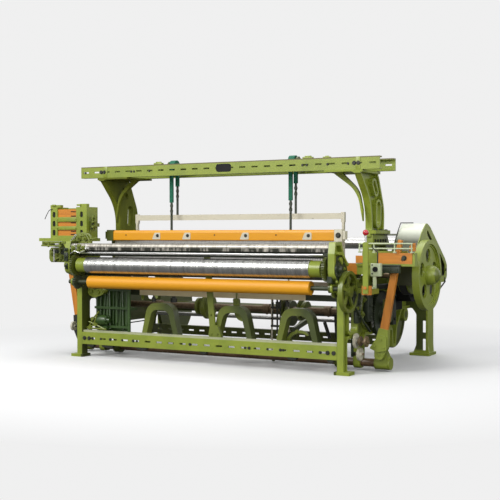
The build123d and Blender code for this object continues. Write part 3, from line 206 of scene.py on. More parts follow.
class Form:
    """A mesh in the making."""

    def __init__(self):
        self.mesh = bmesh.new()

    def bar(self, low, high):
        """Box between two corners."""
        low, high = placed(low), placed(high)
        place = Matrix.Translation((low + high) / 2) @ Matrix.Diagonal((*(high - low), 1.0))
        bmesh.ops.create_cube(self.mesh, size=1.0, matrix=place)

    def rod(self, start, end, radius, end_radius=None, sides=24):
        """Solid round bar between two points."""
        start, end = placed(start), placed(end)
        run = end - start
        turn = run.to_track_quat("Z", "Y").to_matrix().to_4x4()
        bmesh.ops.create_cone(self.mesh, cap_ends=True, segments=sides, radius1=radius,
                              radius2=radius if end_radius is None else end_radius,
                              depth=run.length, matrix=Matrix.Translation((start + end) / 2) @ turn)

    def ball(self, middle, radius, stretch):
        place = Matrix.Translation(placed(middle)) @ Matrix.Diagonal((*stretch, 1.0))
        bmesh.ops.create_uvsphere(self.mesh, u_segments=24, v_segments=14, radius=radius,
                                  matrix=place)

    def turned(self, profile, axle):
        """Lathed shape from (x, radius) pairs, about an axle along the loom at (y, z)."""
        centre = placed((0, *axle))
        points = [self.mesh.verts.new(centre + Vector((x, 0, radius))) for x, radius in profile]
        edges = [self.mesh.edges.new(pair) for pair in zip(points, points[1:])]
        bmesh.ops.spin(self.mesh, geom=points + edges, cent=centre, axis=OUTWARD,
                       angle=math.tau, steps=40, use_merge=True, use_duplicate=False)
        bmesh.ops.remove_doubles(self.mesh, verts=self.mesh.verts[:], dist=1e-6)

    def slab(self, corners, push):
        """One face through the corners, drawn out into a plate."""
        face = self.mesh.faces.new([self.mesh.verts.new(placed(corner)) for corner in corners])
        grown = bmesh.ops.extrude_face_region(self.mesh, geom=[face])["geom"]
        moved = [part for part in grown if isinstance(part, bmesh.types.BMVert)]
        bmesh.ops.translate(self.mesh, verts=moved, vec=push)

    def plate(self, outline, y0, y1):
        """Upright plate from (x, z) corners, between two depths."""
        self.slab([(x, y0, z) for x, z in outline], (0, y1 - y0, 0))

    def side_plate(self, outline, x0, x1):
        """Upright plate from (y, z) corners, between two places along the loom."""
        self.slab([(x0, y, z) for y, z in outline], (x1 - x0, 0, 0))

    def bolt(self, place, aim, size):
        """Hexagon head on a washer, standing out of a face along aim."""
        place, aim = Vector(place), Vector(aim) * size
        self.rod(place - aim * (0.001 / size), place + aim * 0.22, size * 1.25, sides=20)
        self.rod(place + aim * 0.2, place + aim * 0.85, size, size * 0.92, sides=6)

    def studs(self, y0, y1, places, head, sides=18):
        """Round pads that face forward at (x, z, radius), each with a bolt."""
        for x, z, radius in places:
            self.rod((x, y0, z), (x, y1, z), radius, sides=sides)
            self.bolt((x, y0, z), FORWARD, radius * head)

    def wheel(self, axle, x0, x1, radius, teeth, bore):
        """Spur wheel with its hub, about an axle along the loom at (y, z)."""
        y, z = axle
        ring = []
        for i in range(teeth * 4):
            angle = math.tau * i / (teeth * 4)
            reach = radius if i % 4 in (0, 1) else radius * 0.90
            ring.append((y + reach * math.cos(angle), z + reach * math.sin(angle)))
        self.side_plate(ring, x0, x1)
        middle, hub = (x0 + x1) / 2, max(bore * 1.8, radius * 0.3)
        self.rod((x0 - 0.008, y, z), (x1 + 0.008, y, z), hub)
        self.rod((middle - 0.012, y, z), (middle + 0.012, y, z), radius * 0.55, sides=20)

    def disc(self, centre, width, radius, axis=OUTWARD, sides=36):
        """Flat wheel with a raised web and a hub, about an axis through its centre."""
        centre, half = Vector(centre), Vector(axis) * width / 2
        for reach, share, around in ((1.0, 1.0, sides), (1.25, 0.82, sides), (2.2, 0.28, 20)):
            self.rod(centre - half * reach, centre + half * reach, radius * share, sides=around)

    def path(self, points, radius, sides=8):
        """Bar of straight rods with a ball at each bend."""
        for start, end in zip(points, points[1:]):
            self.rod(start, end, radius, sides=sides)
        for place in points[1:-1]:
            bmesh.ops.create_icosphere(self.mesh, subdivisions=1, radius=radius * 1.02,
                                       matrix=Matrix.Translation(placed(place)))

    def soften(self, width, segments=2):
        """Rounds the edges that are sharper than 30 degrees."""
        sharp = [edge for edge in self.mesh.edges
                 if len(edge.link_faces) == 2 and edge.calc_face_angle(0.0) > math.radians(30.0)]
        bmesh.ops.bevel(self.mesh, geom=sharp, offset=width, segments=segments, affect="EDGES",
                        profile=0.5, material=-1, clamp_overlap=True)

    def to_data(self, name):
        data = bpy.data.meshes.new(name)
        self.mesh.to_mesh(data)
        self.mesh.free()
        return data

    def dress(self, name, finish, body="frame"):
        """Turns the mesh into a finished piece."""
        bmesh.ops.recalc_face_normals(self.mesh, faces=self.mesh.faces[:])
        piece = finished(name, self.to_data(name), finish, body)
        piece.data.set_sharp_from_angle(angle=math.radians(32.0))
        return piece


def bent_wire(name, points, radius, finish, body="frame"):
    """Round wire through points, softened at its corners, as a mesh."""
    curve = bpy.data.curves.new(name + "_line", "CURVE")
    curve.dimensions = "3D"
    curve.bevel_depth = radius
    curve.bevel_resolution = 4
    curve.use_fill_caps = True
    spline = curve.splines.new("NURBS")
    spline.points.add(len(points) - 1)
    for point, place in zip(spline.points, points):
        point.co = (*placed(place), 1.0)
    spline.order_u = 3
    spline.use_endpoint_u = True
    spline.resolution_u = 10
    holder = add_object(name + "_line", curve)
    graph = bpy.context.evaluated_depsgraph_get()
    data = bpy.data.meshes.new_from_object(holder.evaluated_get(graph))
    bpy.data.objects.remove(holder)
    return finished(name, data, finish, body)


def round_corners(corners, radius, steps=3):
    """The outline with each corner cut back on an arc."""
    made = []
    for i, corner in enumerate(corners):
        here = Vector(corner)
        into = Vector(corners[i - 1]) - here
        out = Vector(corners[(i + 1) % len(corners)]) - here
        reach = min(radius, into.length * 0.45, out.length * 0.45)
        start = here + into.normalized() * reach
        end = here + out.normalized() * reach
        for k in range(steps + 1):
            t = k / steps
            point = start * (1 - t) ** 2 + here * 2 * t * (1 - t) + end * t ** 2
            made.append((point.x, point.y))
    return made


def box_outline(u0, u1, v0, v1, radius):
    return round_corners([(u0, v0), (u1, v0), (u1, v1), (u0, v1)], radius)


def helix(start, end, radius, turns, steps):
    """Points of a coil spring between two places."""
    start, run = Vector(start), Vector(end) - Vector(start)
    side = run.orthogonal().normalized()
    other = run.normalized().cross(side)
    points = []
    for i in range(turns * steps + 1):
        angle = math.tau * i / steps
        place = start + run * (i / (turns * steps))
        points.append(place + (side * math.cos(angle) + other * math.sin(angle)) * radius)
    return points


# Settings

class LoomColours(bpy.types.PropertyGroup):
    enamel: bpy.props.FloatVectorProperty(
        name="Enamel", description="Gloss enamel of the castings", subtype="COLOR",
        default=(0.262, 0.318, 0.034), min=0.0, max=1.0)
    lacquer: bpy.props.FloatVectorProperty(
        name="Lacquer", description="Varnish on the reed cap and the cloth roller",
        subtype="COLOR", default=(0.740, 0.345, 0.005), min=0.0, max=1.0)
    timber: bpy.props.FloatVectorProperty(
        name="Timber", description="Oiled wood of the sticks and boxes", subtype="COLOR",
        default=(0.600, 0.230, 0.016), min=0.0, max=1.0)
    cream: bpy.props.FloatVectorProperty(
        name="Cream", description="Pale enamel of the heald frames and cap irons",
        subtype="COLOR", default=(0.600, 0.565, 0.440), min=0.0, max=1.0)
    webbing: bpy.props.FloatVectorProperty(
        name="Webbing", description="Strap webbing", subtype="COLOR",
        default=(0.010, 0.130, 0.070), min=0.0, max=1.0)
    knob: bpy.props.FloatVectorProperty(
        name="Knob", description="Ball on the starting handle", subtype="COLOR",
        default=(0.480, 0.012, 0.022), min=0.0, max=1.0)


class LoomView(bpy.types.PropertyGroup):
    lens: bpy.props.FloatProperty(
        name="Lens", description="Focal length in millimetres", default=72.2, min=10.0)
    turn: bpy.props.FloatProperty(
        name="Turn", description="Angle of the camera to the right of the front",
        subtype="ANGLE", default=math.radians(28.75))
    tilt: bpy.props.FloatProperty(
        name="Tilt", description="Angle by which the camera looks down", subtype="ANGLE",
        default=math.radians(0.857))
    place: bpy.props.FloatVectorProperty(
        name="Place", description="Where the camera stands", subtype="TRANSLATION", unit="LENGTH",
        default=(3.395, -6.159, 0.842))


# Finishes

STAND_MIDDLES = (-0.345, 0.212, 0.672)


def enamel_tone(board, base, depth=1.0):
    """Enamel with patches of oil and dirt."""
    tone = board.mix(board.noise(3.1, 2.0), shade(base, 0.88 * depth), shade(base, 1.10 * depth))
    grime = ((board.noise(9.0, 5.0, 0.62) - 0.42) * 1.2).clamped()
    return board.mix(grime, tone, shade(tinted(base, 0.8, 1, 1), 0.45 * depth))


def enamelled(board, tone, dull=0.0, shine=0.5):
    """Cast surface under the tone, without its clear coat where it is dull."""
    cast = board.noise(420.0, 4.0, 0.6) * 0.6 + board.noise(60.0, 2.0) * 0.4
    gloss = board.noise(24.0, 3.0) * 0.22 + 0.30
    coat = 0.25
    if dull:
        gloss = dull * 0.25 + gloss
        coat = dull * -0.25 + 0.25
    return board.finish(base_color=tone, roughness=gloss, normal=board.bump(cast, 0.35, 0.0009),
                        coat_weight=coat, coat_roughness=0.22, specular_ior_level=shine)


# Finish: its material, a tone other than the castings' own, and how deep the tone is
ENAMELS = {
    "enamel": ("green_enamel", None, 1.0),
    # Darker copy of the castings' enamel: painted half shade.
    "dim": ("half_shade_green_enamel", None, 0.62),
    # Darker copy again: painted deep shade for parts inside the frame.
    "shade": ("deep_shade_green_enamel", None, 0.30),
    "deep": ("deep_green_enamel", (0.030, 0.070, 0.010), 1.0),
    "pale": ("pale_green_enamel", (0.50, 0.56, 0.34), 1.0),
    "stay": ("stay_paint", (0.40, 0.41, 0.25), 1.0),
}


def one_enamel(colours, name):
    material, tone, depth = ENAMELS[name]
    board = Board(material)
    return enamelled(board, enamel_tone(board, tone or colours.enamel, depth))


# Finish: its material, patches, roughness as (scale, spread, least), the noise, strength and
# depth of its pits, and the rest of its shader
IRONS = {
    "dark": ("dark_casting", (22.0, 4.0, (0.007, 0.011, 0.006), (0.028, 0.042, 0.014)),
             (30.0, 0.25, 0.35), ((260.0,), 0.3, 0.0008),
             {"coat_weight": 0.15, "coat_roughness": 0.3}),
    "rust": ("brown_iron", (60.0, 5.0, (0.085, 0.055, 0.030), (0.34, 0.25, 0.15)),
             (30.0, 0.0, 0.42), ((300.0,), 0.3, 0.0006), {"metallic": 0.45}),
    "iron": ("oiled_iron", (14.0, 4.0, (0.012, 0.013, 0.010), (0.050, 0.052, 0.040)),
             (30.0, 0.3, 0.32), ((300.0, 4.0, 0.6), 0.4, 0.0008), {"metallic": 0.35}),
    "black": ("black_paint", (16.0, 4.0, (0.010, 0.010, 0.011), (0.026, 0.026, 0.025)),
              (22.0, 0.2, 0.52), ((260.0,), 0.2, 0.0006), {"specular_ior_level": 0.12}),
    "rubber": ("belt_rubber", (20.0, 4.0, (0.012, 0.012, 0.012), (0.035, 0.034, 0.032)),
               (20.0, 0.0, 0.75), ((500.0,), 0.3, 0.0005), {}),
}


def one_iron(name):
    material, patches, (scale, spread, least), (pits, strength, depth), rest = IRONS[name]
    board = Board(material)
    return board.finish(base_color=board.mottled(*patches),
                        roughness=board.noise(scale) * spread + least if spread else least,
                        normal=board.bump(board.noise(*pits), strength, depth), **rest)


def beam_enamel(colours):
    """Top beams: enamel, with a dark brown line along the upper edge."""
    board = Board("beam_enamel")
    edge = board.axis("Z").past(1.3232, 1500.0)
    tone = enamel_tone(board, colours.enamel)
    return enamelled(board, board.mix(edge * 0.85, tone, (0.11, 0.075, 0.030, 1)))


def bow_enamel(colours):
    """Bow legs: the left one is darkened to olive as painted shade, and dull, without its clear
    coat.
    """
    board = Board("bow_enamel")
    left = board.axis("X").before(0.0)
    # The left leg's tone is darkened as painted shade.
    shaded = enamel_tone(board, tinted(colours.enamel, 1.00, 0.95, 0.5), 0.50)
    tone = board.mix(left, enamel_tone(board, colours.enamel), shaded)
    return enamelled(board, tone, left, 0.25)


def stand_enamel(colours):
    """Enamel of the cast stands, darkened as painted shade, and darker on their right legs."""
    board = Board("shaded_stand_enamel")
    along = board.axis("X")
    right_leg_shade = 0.0
    # Painted shade on the right leg of each stand.
    for middle in STAND_MIDDLES:
        right_leg_shade = along.past(middle - 0.030, 12.0) * along.before(middle + 0.150, 400.0) + right_leg_shade
    tone = enamel_tone(board, colours.enamel, 0.50)
    return enamelled(board, board.mix(right_leg_shade * 0.8, tone, shade((0.090, 0.130, 0.020), 0.35)))


def wall_enamel(colours):
    """Side wall: clean on the outside; painted shade on its inner face and on the rear leg's web.
    """
    board = Board("wall_enamel")
    away, high = board.axis("X").unsigned(), board.axis("Z")
    outside = away.past(0.9615, 900.0)
    # Inside the wall's outer face, the enamel is darkened as painted shade.
    tone = board.mix(outside, enamel_tone(board, colours.enamel, 0.24),
                     enamel_tone(board, colours.enamel))
    web = away.past(0.966, 400.0) * away.before(1.1165, 900.0)
    # Painted shade on the web of the rear leg.
    painted_web_shade = web * board.axis("Y").past(LEG_FACE + 1.160, 200.0) * high.past(0.030, 60.0)
    return enamelled(board, board.mix(painted_web_shade * 0.8, tone, (0.016, 0.024, 0.008, 1)))


def guard_enamel(colours):
    """Guard: enamelled outer face; inside, painted shade below 0.8 m and a pale hood above."""
    board = Board("guard_enamel")
    outer = board.axis("X").past(1.2945)
    rise = board.axis("Z").past(0.80, 12.0)
    # Inside the guard: painted shade below 0.8 m, pale above.
    hood = board.mix(rise, enamel_tone(board, colours.enamel, 0.11), (0.74, 0.77, 0.63, 1))
    return enamelled(board, board.mix(outer, hood, enamel_tone(board, colours.enamel)))


def shaft_paint(colours):
    """Brown rocker shaft between its castings, enamelled ends."""
    board = Board("shaft_paint")
    end = board.axis("X").unsigned().past(1.095)
    brown = board.mottled(40.0, 4.0, (0.060, 0.032, 0.016), (0.20, 0.12, 0.060))
    return enamelled(board, board.mix(end, brown, enamel_tone(board, colours.enamel, 0.85)))


def bracket_paint(colours):
    """Handle bracket with its orange fibre block."""
    board = Board("bracket_paint")
    block = board.axis("Y").before(LEG_FACE + 0.0128)
    orange = board.mottled(30.0, 4.0, (0.42, 0.13, 0.010), (0.70, 0.26, 0.020))
    return enamelled(board, board.mix(block, enamel_tone(board, colours.enamel, 0.8), orange))


def cap_bracket_paint(colours):
    """Cream iron at the right end of the reed cap, dark one at the left."""
    board = Board("cap_bracket_paint")
    right = board.axis("X").past(0.0)
    cream = board.mix(board.noise(5.0), shade(colours.cream, 0.96), shade(colours.cream, 1.12))
    return enamelled(board, board.mix(right, enamel_tone(board, colours.enamel, 0.30), cream))


def handle_paint(colours):
    """Starting handle: enamelled bar, bright neck, red ball."""
    board = Board("handle_paint")
    high = board.axis("Z")
    bar = board.mix(high.past(0.7995), enamel_tone(board, colours.enamel), (0.55, 0.55, 0.52, 1))
    ball = high.past(0.8385)
    tone = board.mix(ball, bar, (*colours.knob, 1.0))
    return board.finish(base_color=tone, roughness=0.34 - ball * 0.16, coat_weight=ball * 0.6,
                        coat_roughness=0.08)


def cream_enamel(colours):
    """Pale enamel with dark chips."""
    board = Board("cream_enamel")
    tone = board.mix(board.noise(5.0), shade(colours.cream, 0.92), shade(colours.cream, 1.06))
    chips = board.noise(38.0, 5.0, 0.7).past(0.64, 14.0)
    return board.finish(base_color=board.mix(chips * 0.6, tone, (0.16, 0.14, 0.10, 1)),
                        roughness=0.42, normal=board.bump(board.noise(180.0), 0.2, 0.0006))


def roller_grit(colours):
    """Roughened strip on the roller's barrel; its end caps are enamelled."""
    board = Board("grit_strip")
    along = board.axis("X")
    streaks = board.noise(3.2, 4.0, 0.7, (16.0, 1.0, 1.0))
    turn = (along * 21.0 + board.axis("Z") * 1.4).fraction()
    seam = 1 - (turn * 14.0).clamped()
    tone = board.mix(streaks, (0.12, 0.12, 0.11, 1), (0.80, 0.80, 0.77, 1))
    strip = board.mix(seam * 0.5, tone, (0.08, 0.08, 0.07, 1))
    end = along.unsigned().past(0.8352)
    coloured = board.mix(end, strip, enamel_tone(board, colours.enamel, 0.9))
    return board.finish(base_color=coloured, roughness=streaks * 0.10 + 0.18,
                        metallic=0.90 - end * 0.90,
                        normal=board.bump(board.cells(420.0), 0.4, 0.0008))


def bright_steel(colours):
    """Turned steel with rings of wear and a little rust."""
    board = Board("turned_steel")
    rings = board.noise(3.0, 3.0, 0.7, (220.0, 3.0, 3.0))
    tone = board.mix(rings, (0.42, 0.42, 0.41, 1), (0.74, 0.74, 0.72, 1))
    rust = board.noise(11.0, 5.0, 0.7).past(0.60, 6.0)
    stained = board.mix(rust * 0.35, tone, (0.16, 0.10, 0.05, 1))
    return board.finish(base_color=stained, roughness=rings * 0.15 + 0.22, metallic=0.9,
                        normal=board.bump(rings, 0.12, 0.0004))


def breast_plate(colours):
    """Bright plate of the breast beam, streaked by years of cloth, dark along its foot."""
    board = Board("breast_plate")
    streaks = board.noise(3.0, 5.0, 0.75, (18.0, 1.0, 1.6))
    tone = board.mix(streaks.past(0.3, 2.2), (0.15, 0.14, 0.12, 1), (0.66, 0.62, 0.53, 1))
    # Darker patches along the foot of the plate.
    foot_patches = board.noise(2.2, 3.0, 0.6, (11.0, 1.0, 3.0)).past(0.40, 9.0)
    low = board.axis("Z").before(0.762, 220.0)
    tone = board.mix(foot_patches * low * 0.95, tone, (0.020, 0.022, 0.014, 1))
    return board.finish(base_color=tone, roughness=streaks * 0.2 + 0.25, metallic=0.6,
                        normal=board.bump(streaks, 0.1, 0.0005))


def lacquer_tone(board, base):
    """Grain of lacquered wood, and its colour."""
    grain = board.noise(4.0, 6.0, 0.6, (0.7, 14.0, 14.0))
    return grain, board.mix(grain, shade(tinted(base, 1, 0.86, 1), 0.86), shade(base, 1.10))


def lacquered_wood(colours):
    board = Board("lacquered_wood")
    grain, tone = lacquer_tone(board, colours.lacquer)
    return board.finish(base_color=tone, roughness=grain * 0.12 + 0.34, coat_weight=0.12,
                        coat_roughness=0.2, normal=board.bump(grain, 0.08, 0.0005))


def roller_lacquer(colours):
    """Lacquered barrel with dark iron ends."""
    board = Board("lacquered_roller")
    grain, wood = lacquer_tone(board, colours.lacquer)
    end = board.axis("X").unsigned().past(0.8285)
    return board.finish(base_color=board.mix(end, wood, (0.035, 0.045, 0.018, 1)),
                        roughness=grain * 0.12 + 0.46, coat_weight=0.06 - end * 0.06,
                        coat_roughness=0.3, normal=board.bump(grain, 0.08, 0.0005))


def tie_timber(colours):
    """Tan timber of the lower tie, with dark iron ends."""
    board = Board("tie_timber")
    grain = board.noise(4.5, 7.0, 0.62, (0.8, 16.0, 16.0))
    wood = board.mix(grain, (0.60, 0.50, 0.28, 1), (0.88, 0.76, 0.48, 1))
    end = board.axis("X").unsigned().past(0.640)
    return board.finish(base_color=board.mix(end, wood, (0.030, 0.040, 0.016, 1)),
                        roughness=grain * 0.2 + 0.4, normal=board.bump(grain, 0.2, 0.0006))


def oiled_timber(colours, name="oiled_timber", stretch=(0.8, 16.0, 16.0)):
    board = Board(name)
    grain = board.noise(4.5, 7.0, 0.62, stretch)
    tone = board.mix(grain, shade(tinted(colours.timber, 0.75, 0.6, 1), 0.8),
                     shade(colours.timber, 1.25))
    return board.finish(base_color=tone, roughness=grain * 0.2 + 0.36, coat_weight=0.2,
                        coat_roughness=0.3, normal=board.bump(grain, 0.2, 0.0006))


def upright_timber(colours):
    return oiled_timber(colours, "stick_timber", (16.0, 16.0, 0.8))


def cloth_tone(board, colours, weave):
    return board.mix(weave, shade(colours.webbing, 0.6), shade(colours.webbing, 1.35))


def drum_iron(colours):
    """Harness shaft, with webbing wound on its two drums."""
    board = Board("drum_iron")
    rib = (board.axis("X") * 2100.0).sine() * 0.25 + 0.5
    wound = (board.axis("X").unsigned() - STRAP_MIDDLE).unsigned().before(0.0225)
    bare = board.mottled(14.0, 4.0, (0.012, 0.013, 0.010), (0.050, 0.052, 0.040))
    return board.finish(base_color=board.mix(wound, bare, cloth_tone(board, colours, rib)),
                        roughness=wound * 0.3 + 0.45, metallic=0.35 - wound * 0.35,
                        normal=board.bump(rib, 0.4, 0.0006))


def strap_webbing(colours):
    board = Board("strap_webbing")
    rib = (board.axis("Z") * 2400.0).sine() * 0.3 + 0.5
    weave = rib + (board.axis("X") * 2100.0).sine() * 0.2
    return board.finish(base_color=cloth_tone(board, colours, weave), roughness=0.85,
                        normal=board.bump(weave, 0.6, 0.0008))


FINISHES = {
    "beam": beam_enamel, "bow": bow_enamel, "stand": stand_enamel, "wall": wall_enamel,
    "guard": guard_enamel, "shaft": shaft_paint, "bracket": bracket_paint,
    "ends": cap_bracket_paint, "handle": handle_paint, "cream": cream_enamel,
    "grit": roller_grit, "steel": bright_steel, "plate": breast_plate,
    "lacquer": lacquered_wood, "roller": roller_lacquer, "tie": tie_timber,
    "timber": oiled_timber, "stick": upright_timber, "drum": drum_iron,
    "webbing": strap_webbing,
}
made_finishes = {}


def finish_of(name):
    """The material of that finish, made on its first use."""
    if name not in made_finishes:
        colours = bpy.context.scene.loom_colours
        if name in ENAMELS:
            made_finishes[name] = one_enamel(colours, name)
        elif name in IRONS:
            made_finishes[name] = one_iron(name)
        else:
            made_finishes[name] = FINISHES[name](colours)
    return made_finishes[name]


NODE_FINISHES = {
    "wall": ("right_side_wall", "left_side_wall"),
    # Parts inside the frame take the shade enamel, darkened as painted shade.
    "shade": ("rear_rail", "swords", "crank_arms", "front_treadle", "rear_treadle",
              "crank_gear", "bottom_gear", "shedding_cams", "picking_cams", "take_up_gears",
              "take_up_idler", "harness_hangers", "back_rest_brackets", "warp_beam"),
    "stand": ("arch_stands",),
    "bow": ("bow_legs",),
    "beam": ("front_top_beam", "rear_top_beam"),
    "dim": ("hand_wheel",),
    "drum": ("harness_shaft",),
    "rust": ("crankshaft", "bottom_shaft"),
    "ends": ("cap_brackets",),
    "stay": ("front_stay",),
    "shaft": ("rocker_shaft",),
    "bracket": ("handle_bracket",),
    "guard": ("belt_guard",),
    "handle": ("starting_handle",),
    "iron": ("left_stick_shoe", "frame_bolts", "motor_pulley"),
    "steel": ("guide_rod", "treadle_rod", "reed", "back_rest"),
    "grit": ("take_up_roller",),
    "lacquer": ("reed_cap",),
    "roller": ("cloth_roller",),
    "tie": ("sley_tie",),
    "timber": ("sley_beam", "box_fronts", "right_picker", "left_picker", "stored_shuttles"),
    "stick": ("right_picking_stick", "left_picking_stick"),
    "cream": ("front_heald_frame", "rear_heald_frame"),
    "webbing": ("front_straps", "rear_straps"),
    "black": ("motor",),
    "rubber": ("drive_belt",),
    "plate": ("breast_beam",),
}


class LOOM_OT_finish_frame(bpy.types.Operator):
    """Paint, varnish and bare metal on every node of the frame"""

    bl_idname = "loom.finish_frame"
    bl_label = "Finish the Frame"

    def execute(self, context):
        chosen = {node: name for name, nodes in NODE_FINISHES.items() for node in nodes}
        for node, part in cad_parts.items():
            material = finish_of(chosen.get(node, "enamel"))
            part.data.materials.clear()
            part.data.materials.append(material)
        return {"FINISHED"}


# Top beams

BEAM_FACE = 0.260
BEAM_LOW, BEAM_TOP = 1.250, 1.330
BEAM_MIDDLE = 1.290
BEAM_BOLTS = (-0.728, -0.705, -0.575, 0.605, 0.635, 0.780, 0.921, -1.129)


class LOOM_OT_beam_fittings(bpy.types.Operator):
    """Bare plate, bands, bolts and small irons of the top beams"""

    bl_idname = "loom.beam_fittings"
    bl_label = "Beam Fittings"

    def execute(self, context):
        form = Form()
        plate = box_outline(-0.036, 0.079, 1.264, 1.316, 0.019)
        form.plate(plate, BEAM_FACE - 0.003, BEAM_FACE)
        for x in (-0.025, 0.068):
            for z in (1.275, 1.305):
                form.ball((x, BEAM_FACE - 0.003, z), 0.0035, (1, 0.6, 1))
        form.dress("bare_plate", "black")

        form = Form()
        for x0, x1 in ((-0.971, -0.938), (0.972, 1.003)):
            form.bar((x0, BEAM_FACE - 0.0025, BEAM_LOW + 0.001), (x1, BEAM_FACE, BEAM_TOP - 0.001))
        form.soften(0.0012)
        form.dress("beam_bands", "enamel")

        form = Form()
        for x in BEAM_BOLTS:
            form.bolt((x, BEAM_FACE, BEAM_MIDDLE - 0.002), FORWARD, 0.0065)
        form.dress("beam_bolts", "iron")

        form = Form()
        for x0, x1, high in ((-0.545, -0.480, 0.012), (0.600, 0.668, 0.011), (0.742, 0.790, 0.008)):
            clip_top = BEAM_TOP + high
            form.bar((x0, 0.268, BEAM_TOP), (x1, 0.298, clip_top))
            form.bar((x0 + 0.012, 0.276, clip_top), (x1 - 0.012, 0.290, BEAM_TOP + high * 1.7))
        form.soften(0.002)
        form.dress("beam_clips", "enamel")
        return {"FINISHED"}


# Straps

STRAP_HALF, STRAP_THICK = 0.013, 0.007
STRAP_STEPS = 24


def make_straps(which, deep, foot, tape_end, links):
    """Tape from the irons up to the top beam, and irons that rise with the frame."""
    body = which + "_healds"
    near, far = deep - STRAP_THICK, deep + STRAP_THICK
    tape, irons = Form(), Form()
    for x in (-STRAP_MIDDLE, STRAP_MIDDLE):
        tape.bar((x - STRAP_HALF, near, tape_end), (x + STRAP_HALF, far, BEAM_TOP))
        irons.bar((x - 0.0055, near, foot), (x + 0.0055, far, tape_end))
        for i in range(4):
            stretch = (1.0, 0.55, 1.4) if i % 2 else (0.6, 0.9, 1.4)
            irons.ball((x, deep, links + 0.019 * i), 0.0125, stretch)
    upright = [edge for edge in tape.mesh.edges if edge.calc_length() > STRAP_HALF * 3]
    bmesh.ops.subdivide_edges(tape.mesh, edges=upright, cuts=STRAP_STEPS)
    irons.dress(which + "_strap_irons", "dark", body)
    webbing = tape.dress(which + "_strap_webbing", "webbing", None)
    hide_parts(which + "_straps")
    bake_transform(webbing)


class LOOM_OT_straps(bpy.types.Operator):
    """Webbing between the drums and the heald frames, with chain links and hooks under it"""

    bl_idname = "loom.straps"
    bl_label = "Straps"

    def execute(self, context):
        make_straps("front", 0.373, 0.859, 1.069, 0.990)
        make_straps("rear", 0.449, 0.984, 1.184, 1.096)
        return {"FINISHED"}


# Reed cap

CAP_FACE = 0.212
CAP_PLATES = (-0.478, -0.234, 0.214, 0.667)


class LOOM_OT_cap_fittings(bpy.types.Operator):
    """Cream plates and dark bolts along the reed cap"""

    bl_idname = "loom.cap_fittings"
    bl_label = "Cap Fittings"

    def execute(self, context):
        plates, bolts = Form(), Form()
        for x in CAP_PLATES:
            shape = round_corners([(x - 0.040, 0.812), (x + 0.026, 0.812), (x + 0.026, 0.858),
                                   (x - 0.020, 0.858), (x - 0.030, 0.838)], 0.008)
            plates.plate(shape, CAP_FACE - 0.003, CAP_FACE)
            bolts.bolt((x + 0.004, CAP_FACE - 0.003, 0.838), FORWARD, 0.009)
        for x in (-0.74, -0.02, 0.44):
            bolts.bolt((x, CAP_FACE, 0.842), FORWARD, 0.004)
        bolts.bolt((0.878, 0.206, 0.840), FORWARD, 0.014)
        plates.dress("cap_plates", "cream", "sley")
        bolts.dress("cap_bolts", "iron", "sley")
        return {"FINISHED"}


# Rails

RAIL_FACE = 0.0
RAIL_MIDDLE = 0.1305
RAIL_BOLTS = (-0.93, -0.87, -0.80, -0.72, -0.62, -0.53, -0.50, -0.08, 0.33, 0.36, 0.49, 0.58, 0.60,
              0.85)
RAIL_PADS = ((-0.925, -0.86), (-0.80, -0.70), (-0.512, -0.422), (-0.015, 0.045),
             (0.622, 0.691), (0.890, 0.940))


class LOOM_OT_rail_fittings(bpy.types.Operator):
    """Bolts in the front rail's slots and the irons under it"""

    bl_idname = "loom.rail_fittings"
    bl_label = "Rail Fittings"

    def execute(self, context):
        form = Form()
        for i, x in enumerate(RAIL_BOLTS):
            form.bolt((x, RAIL_FACE, RAIL_MIDDLE), FORWARD, 0.0065 + 0.0015 * (i % 2))
        for x0, x1 in RAIL_PADS:
            low = round_corners([(x0, 0.089), (x0 + 0.008, 0.074), (x1 - 0.012, 0.070),
                                 (x1, 0.089)], 0.006)
            form.plate(low, 0.006, 0.034)
            form.rod(((x0 + x1) / 2, 0.020, 0.066), ((x0 + x1) / 2, 0.020, 0.076), 0.009, sides=6)
        form.dress("rail_irons", "iron")
        return {"FINISHED"}


# Inside the frame

